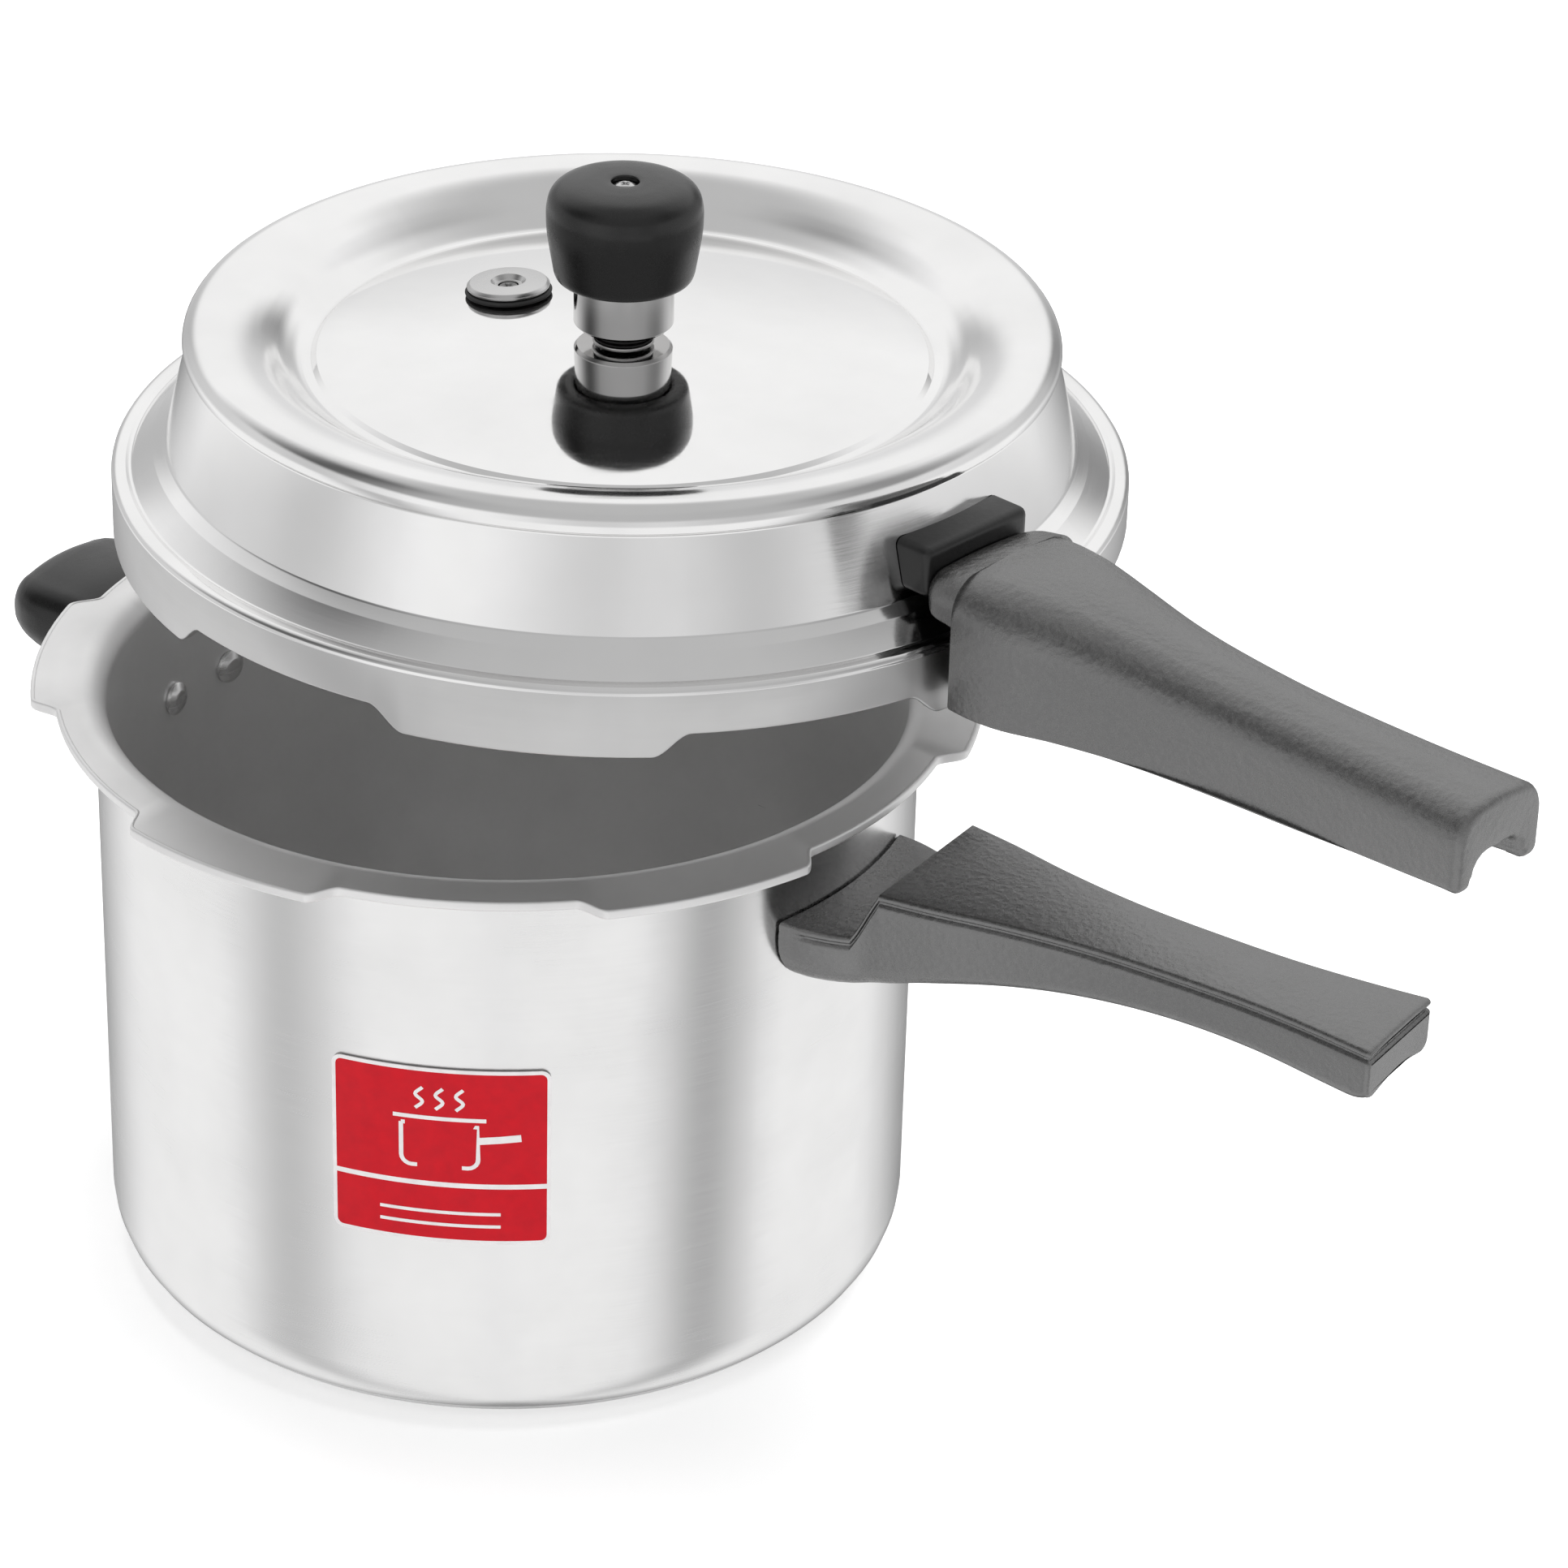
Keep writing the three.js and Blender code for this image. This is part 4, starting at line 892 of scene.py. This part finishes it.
cap_outline = [
    *rounded([(12.6, 69.3), (12.6, 59.4, 0.3), (13.4, 58.9, 0.4), (14.9, 58.9)]),
    *curve([(15.6, 58.95), (16.6, 59.5), (17.2, 60.8), (17.7, 63.5), (18.3, 67), (18.9, 71), (19.1, 74.5),
            (19.0, 77.6), (18.3, 80.3), (16.7, 82.2), (14.2, 83.3), (10, 83.85), (6, 84.0)], 5),
    *rounded([(5.2, 84), (3.4, 84, 0.4), (3.4, 81.8), (2.4, 81.8), (2.4, 69.3)]),
]
settle(lathe("regulator_cap_moulded", cap_outline, use(BLACK_BAKELITE), LID_PLACE, 120, closed=True,
             sharp=50),
       "regulator", "black_bakelite", "regulator_cap")
cap_screw_place = LID_PLACE @ Matrix.Translation((0, 0, 82.1)) @ Matrix.Rotation(math.pi, 4, "X")
screw("regulator_cap_screw_cross", cap_screw_place, 2, 10.6, 3, 1.3, "regulator", "fastener_steel",
      "regulator_cap_screw")


# --- Safety plug ----------------------------------------------------------------------------------

PLUG_RADIUS, PLUG_ANGLE = 38.4, -177
PLUG_LEAN = math.atan(2 * PLATE_RISE * PLUG_RADIUS / PLATE_RADIUS ** 2)
PLUG_PLACE = (
    LID_PLACE @ Matrix.Rotation(math.radians(PLUG_ANGLE), 4, "Z")
    @ Matrix.Translation((PLUG_RADIUS, 0, dome(PLUG_RADIUS)[1])) @ Matrix.Rotation(PLUG_LEAN, 4, "Y")
)
plug_outline = rounded([
    (2.6, -10.5), (6, -10.5, 0.4), (6, 1.6), (10.2, 1.6, 0.3), (10.4, 2.4, 0.4), (9.6, 3.2, 0.5),
    (4.4, 3.5, 0.4), (3.4, 2.2, 0.3), (2.6, 2.2),
])
settle(lathe("safety_plug_turned", plug_outline, use(STEEL), PLUG_PLACE, 72, closed=True), "lid",
       "plug_steel", "safety_plug_body")
plug_seal = rounded([(6.3, 0.3), (10.7, 0.3, 0.3), (10.9, 0.9, 0.3), (10.6, 1.4, 0.3), (6.3, 1.4)])
settle(lathe("safety_plug_seal_ring", plug_seal, use(RUBBER), PLUG_PLACE, 72, closed=True), "lid",
       "sealing_rubber", "safety_plug_seal")
hexagon_nut("safety_plug_nut_hexagon", 20, 6.2, -6.9, -2.9, PLUG_PLACE, "lid", "plug_steel",
            "safety_plug_nut")
core = lathe("safety_plug_core_alloy", rounded([(0, -9.5), (2.3, -9.5, 0.2), (2.3, 2.1, 0.3), (0, 2.1)]),
             use(ALLOY), PLUG_PLACE, 40)
for cutter in cross_recess("core", PLUG_PLACE, 1.8, 0.9, 1.1, 2.1):
    carve(core, cutter)
settle(core, "lid", "fusible_alloy", "safety_plug_core")


# --- Floor, lights and camera ---------------------------------------------------------------------

def floor():
    """A white sheet just under the base, for the contact shadow."""
    look = Look("floor_white", Roughness=0.9, Specular_IOR_Level=0.1, Emission_Color=(1, 1, 1, 1),
                Emission_Strength=0.4)
    look.feed("Base Color", look.mix(look.span(look.noise(0.5), 0, 1), (0.9, 0.9, 0.9, 1),
                                     (0.88, 0.88, 0.88, 1)))
    half, level = 9.0, -0.0004
    mesh = bpy.data.meshes.new("floor")
    corners = [(-half, -half, level), (half, -half, level), (half, half, level), (-half, half, level)]
    mesh.from_pydata(corners, [], [(0, 1, 2, 3)])
    mesh.materials.append(look.material)
    made = bpy.data.objects.new("floor", mesh)
    made.visible_glossy = False
    bpy.context.scene.collection.objects.link(made)


def softbox(name, azimuth, distance, height, width, tall, power, aim=0.12):
    """An area light at an azimuth in degrees round the pot's axis, turned to a height on that axis."""
    light = bpy.data.lights.new(name, "AREA")
    light.shape, light.size, light.size_y, light.energy = "RECTANGLE", width, tall, power
    made = bpy.data.objects.new(name, light)
    at = Vector((distance * math.cos(math.radians(azimuth)), distance * math.sin(math.radians(azimuth)),
                 height))
    made.location = at
    made.rotation_euler = (Vector((0, 0, aim)) - at).to_track_quat("-Z", "Y").to_euler()
    made.visible_camera = False
    bpy.context.scene.collection.objects.link(made)
    return made


CAMERA_PLACE, CAMERA_AIM = Vector((0.7255, -0.9911, 0.8130)), Vector((-0.4749, 0.7341, -0.4854))
CAMERA_ROLL = 1.692
CAMERA_AZIMUTH = -57.1              # of the studio's front round the object

# What the metal mirrors, as brightness against the angle round the object from the camera's side:
# the white sweep below the horizon with its darker joints, the soft walls at the horizon, and the ceiling.
SWEEP = [(-180, 0.24), (-160, 0.32), (-138, 0.85), (-122, 1.12), (-92, 1.12), (-80, 0.92), (-70, 0.6),
         (-62, 0.5), (-53, 0.76), (-42, 0.98), (-26, 1.12), (-10, 1.08), (0, 0.9), (10, 1.08), (30, 1.12),
         (44, 0.95), (53, 0.72), (61, 0.32), (70, 0.52), (79, 0.86), (90, 1.12), (122, 1.12), (138, 0.85),
         (160, 0.32), (180, 0.24)]
WALLS = [(-180, 0.85), (-168, 0.75), (-152, 0.45), (-136, 0.65), (-98, 0.8), (-80, 0.55), (-62, 0.82),
         (-45, 1.05), (-26, 1.0), (-4, 0.6), (14, 0.9), (33, 0.5), (50, 0.78), (90, 0.85),
         (136, 0.6), (152, 0.12), (168, 0.7), (180, 0.85)]
CEILING = [(-180, 1.15), (-140, 1.15), (-112, 0.6), (-92, 0.1), (-72, 0.1), (-50, 0.5), (0, 0.55), (50, 0.5),
           (72, 0.3), (92, 0.3), (112, 0.7), (140, 1.15), (180, 1.15)]
ZENITH = (0.55, 0.55, 0.552, 1)


def studio():
    """The world: bands of light for the metal to mirror, and plain white for the camera."""
    world = bpy.data.worlds.new("studio")
    bpy.context.scene.world = world
    world.use_nodes = True
    tree = Tree(world.node_tree)
    direction = tree.node("TexCoord").outputs["Generated"]
    facing = tree.node("VectorRotate", {"Vector": direction, "Angle": math.radians(-CAMERA_AZIMUTH)},
                       rotation_type="Z_AXIS").outputs["Vector"]
    split = tree.node("SeparateXYZ", {"Vector": facing})
    around = tree.sum("ARCTAN2", split.outputs["Y"], split.outputs["X"])
    place = tree.span(around, 0, 1, -math.pi, math.pi)

    def ramp(stops):
        """Brightness against the angle round the object, softly joined."""
        made = tree.node("ValToRGB", {"Fac": place})
        made.color_ramp.interpolation = "B_SPLINE"
        elements = made.color_ramp.elements
        while len(elements) > 1:
            elements.remove(elements[-1])
        for number, (angle, value) in enumerate(stops):
            at = (angle + 180) / 360
            element = elements[0] if number == 0 else elements.new(at)
            element.position, element.color = at, (value, value, value * 1.005, 1)
        return made.outputs["Color"]

    height = split.outputs["Z"]
    low = tree.span(height, 0, 1, math.sin(math.radians(-20)), math.sin(math.radians(-8)), "SMOOTHSTEP")
    high = tree.span(height, 0, 1, math.sin(math.radians(10)), math.sin(math.radians(24)), "SMOOTHSTEP")
    top = tree.span(height, 0, 1, math.sin(math.radians(44)), math.sin(math.radians(72)), "SMOOTHSTEP")
    glow = tree.mix(high, tree.mix(low, ramp(SWEEP), ramp(WALLS)), ramp(CEILING))
    glow = tree.mix(top, glow, ZENITH)
    seen = tree.node("LightPath").outputs["Is Camera Ray"]
    colour = tree.mix(seen, glow, (1.1, 1.1, 1.1, 1))
    tree.links.new(colour, tree.nodes["Background"].inputs["Color"])


floor()
softbox("overhead", 60, 0.4, 2.0, 1.8, 1.8, 40, aim=0.0).visible_glossy = False
studio()

bpy.context.scene.view_settings.view_transform = "Standard"


def camera():
    """The camera, looking down along CAMERA_AIM and tilted by CAMERA_ROLL degrees."""
    data = bpy.data.cameras.new("camera")
    data.lens, data.sensor_width = 125.1, 36.0
    data.clip_end = 50
    made = bpy.data.objects.new("camera", data)
    bpy.context.scene.collection.objects.link(made)
    forward = CAMERA_AIM.normalized()
    right = forward.cross(Vector((0, 0, 1))).normalized()
    up = right.cross(forward)
    roll = math.radians(CAMERA_ROLL)
    right, up = right * math.cos(roll) + up * math.sin(roll), up * math.cos(roll) - right * math.sin(roll)
    basis = Matrix((right, up, -forward)).transposed().to_4x4()
    made.matrix_world = Matrix.Translation(CAMERA_PLACE) @ basis
    bpy.context.scene.camera = made


camera()
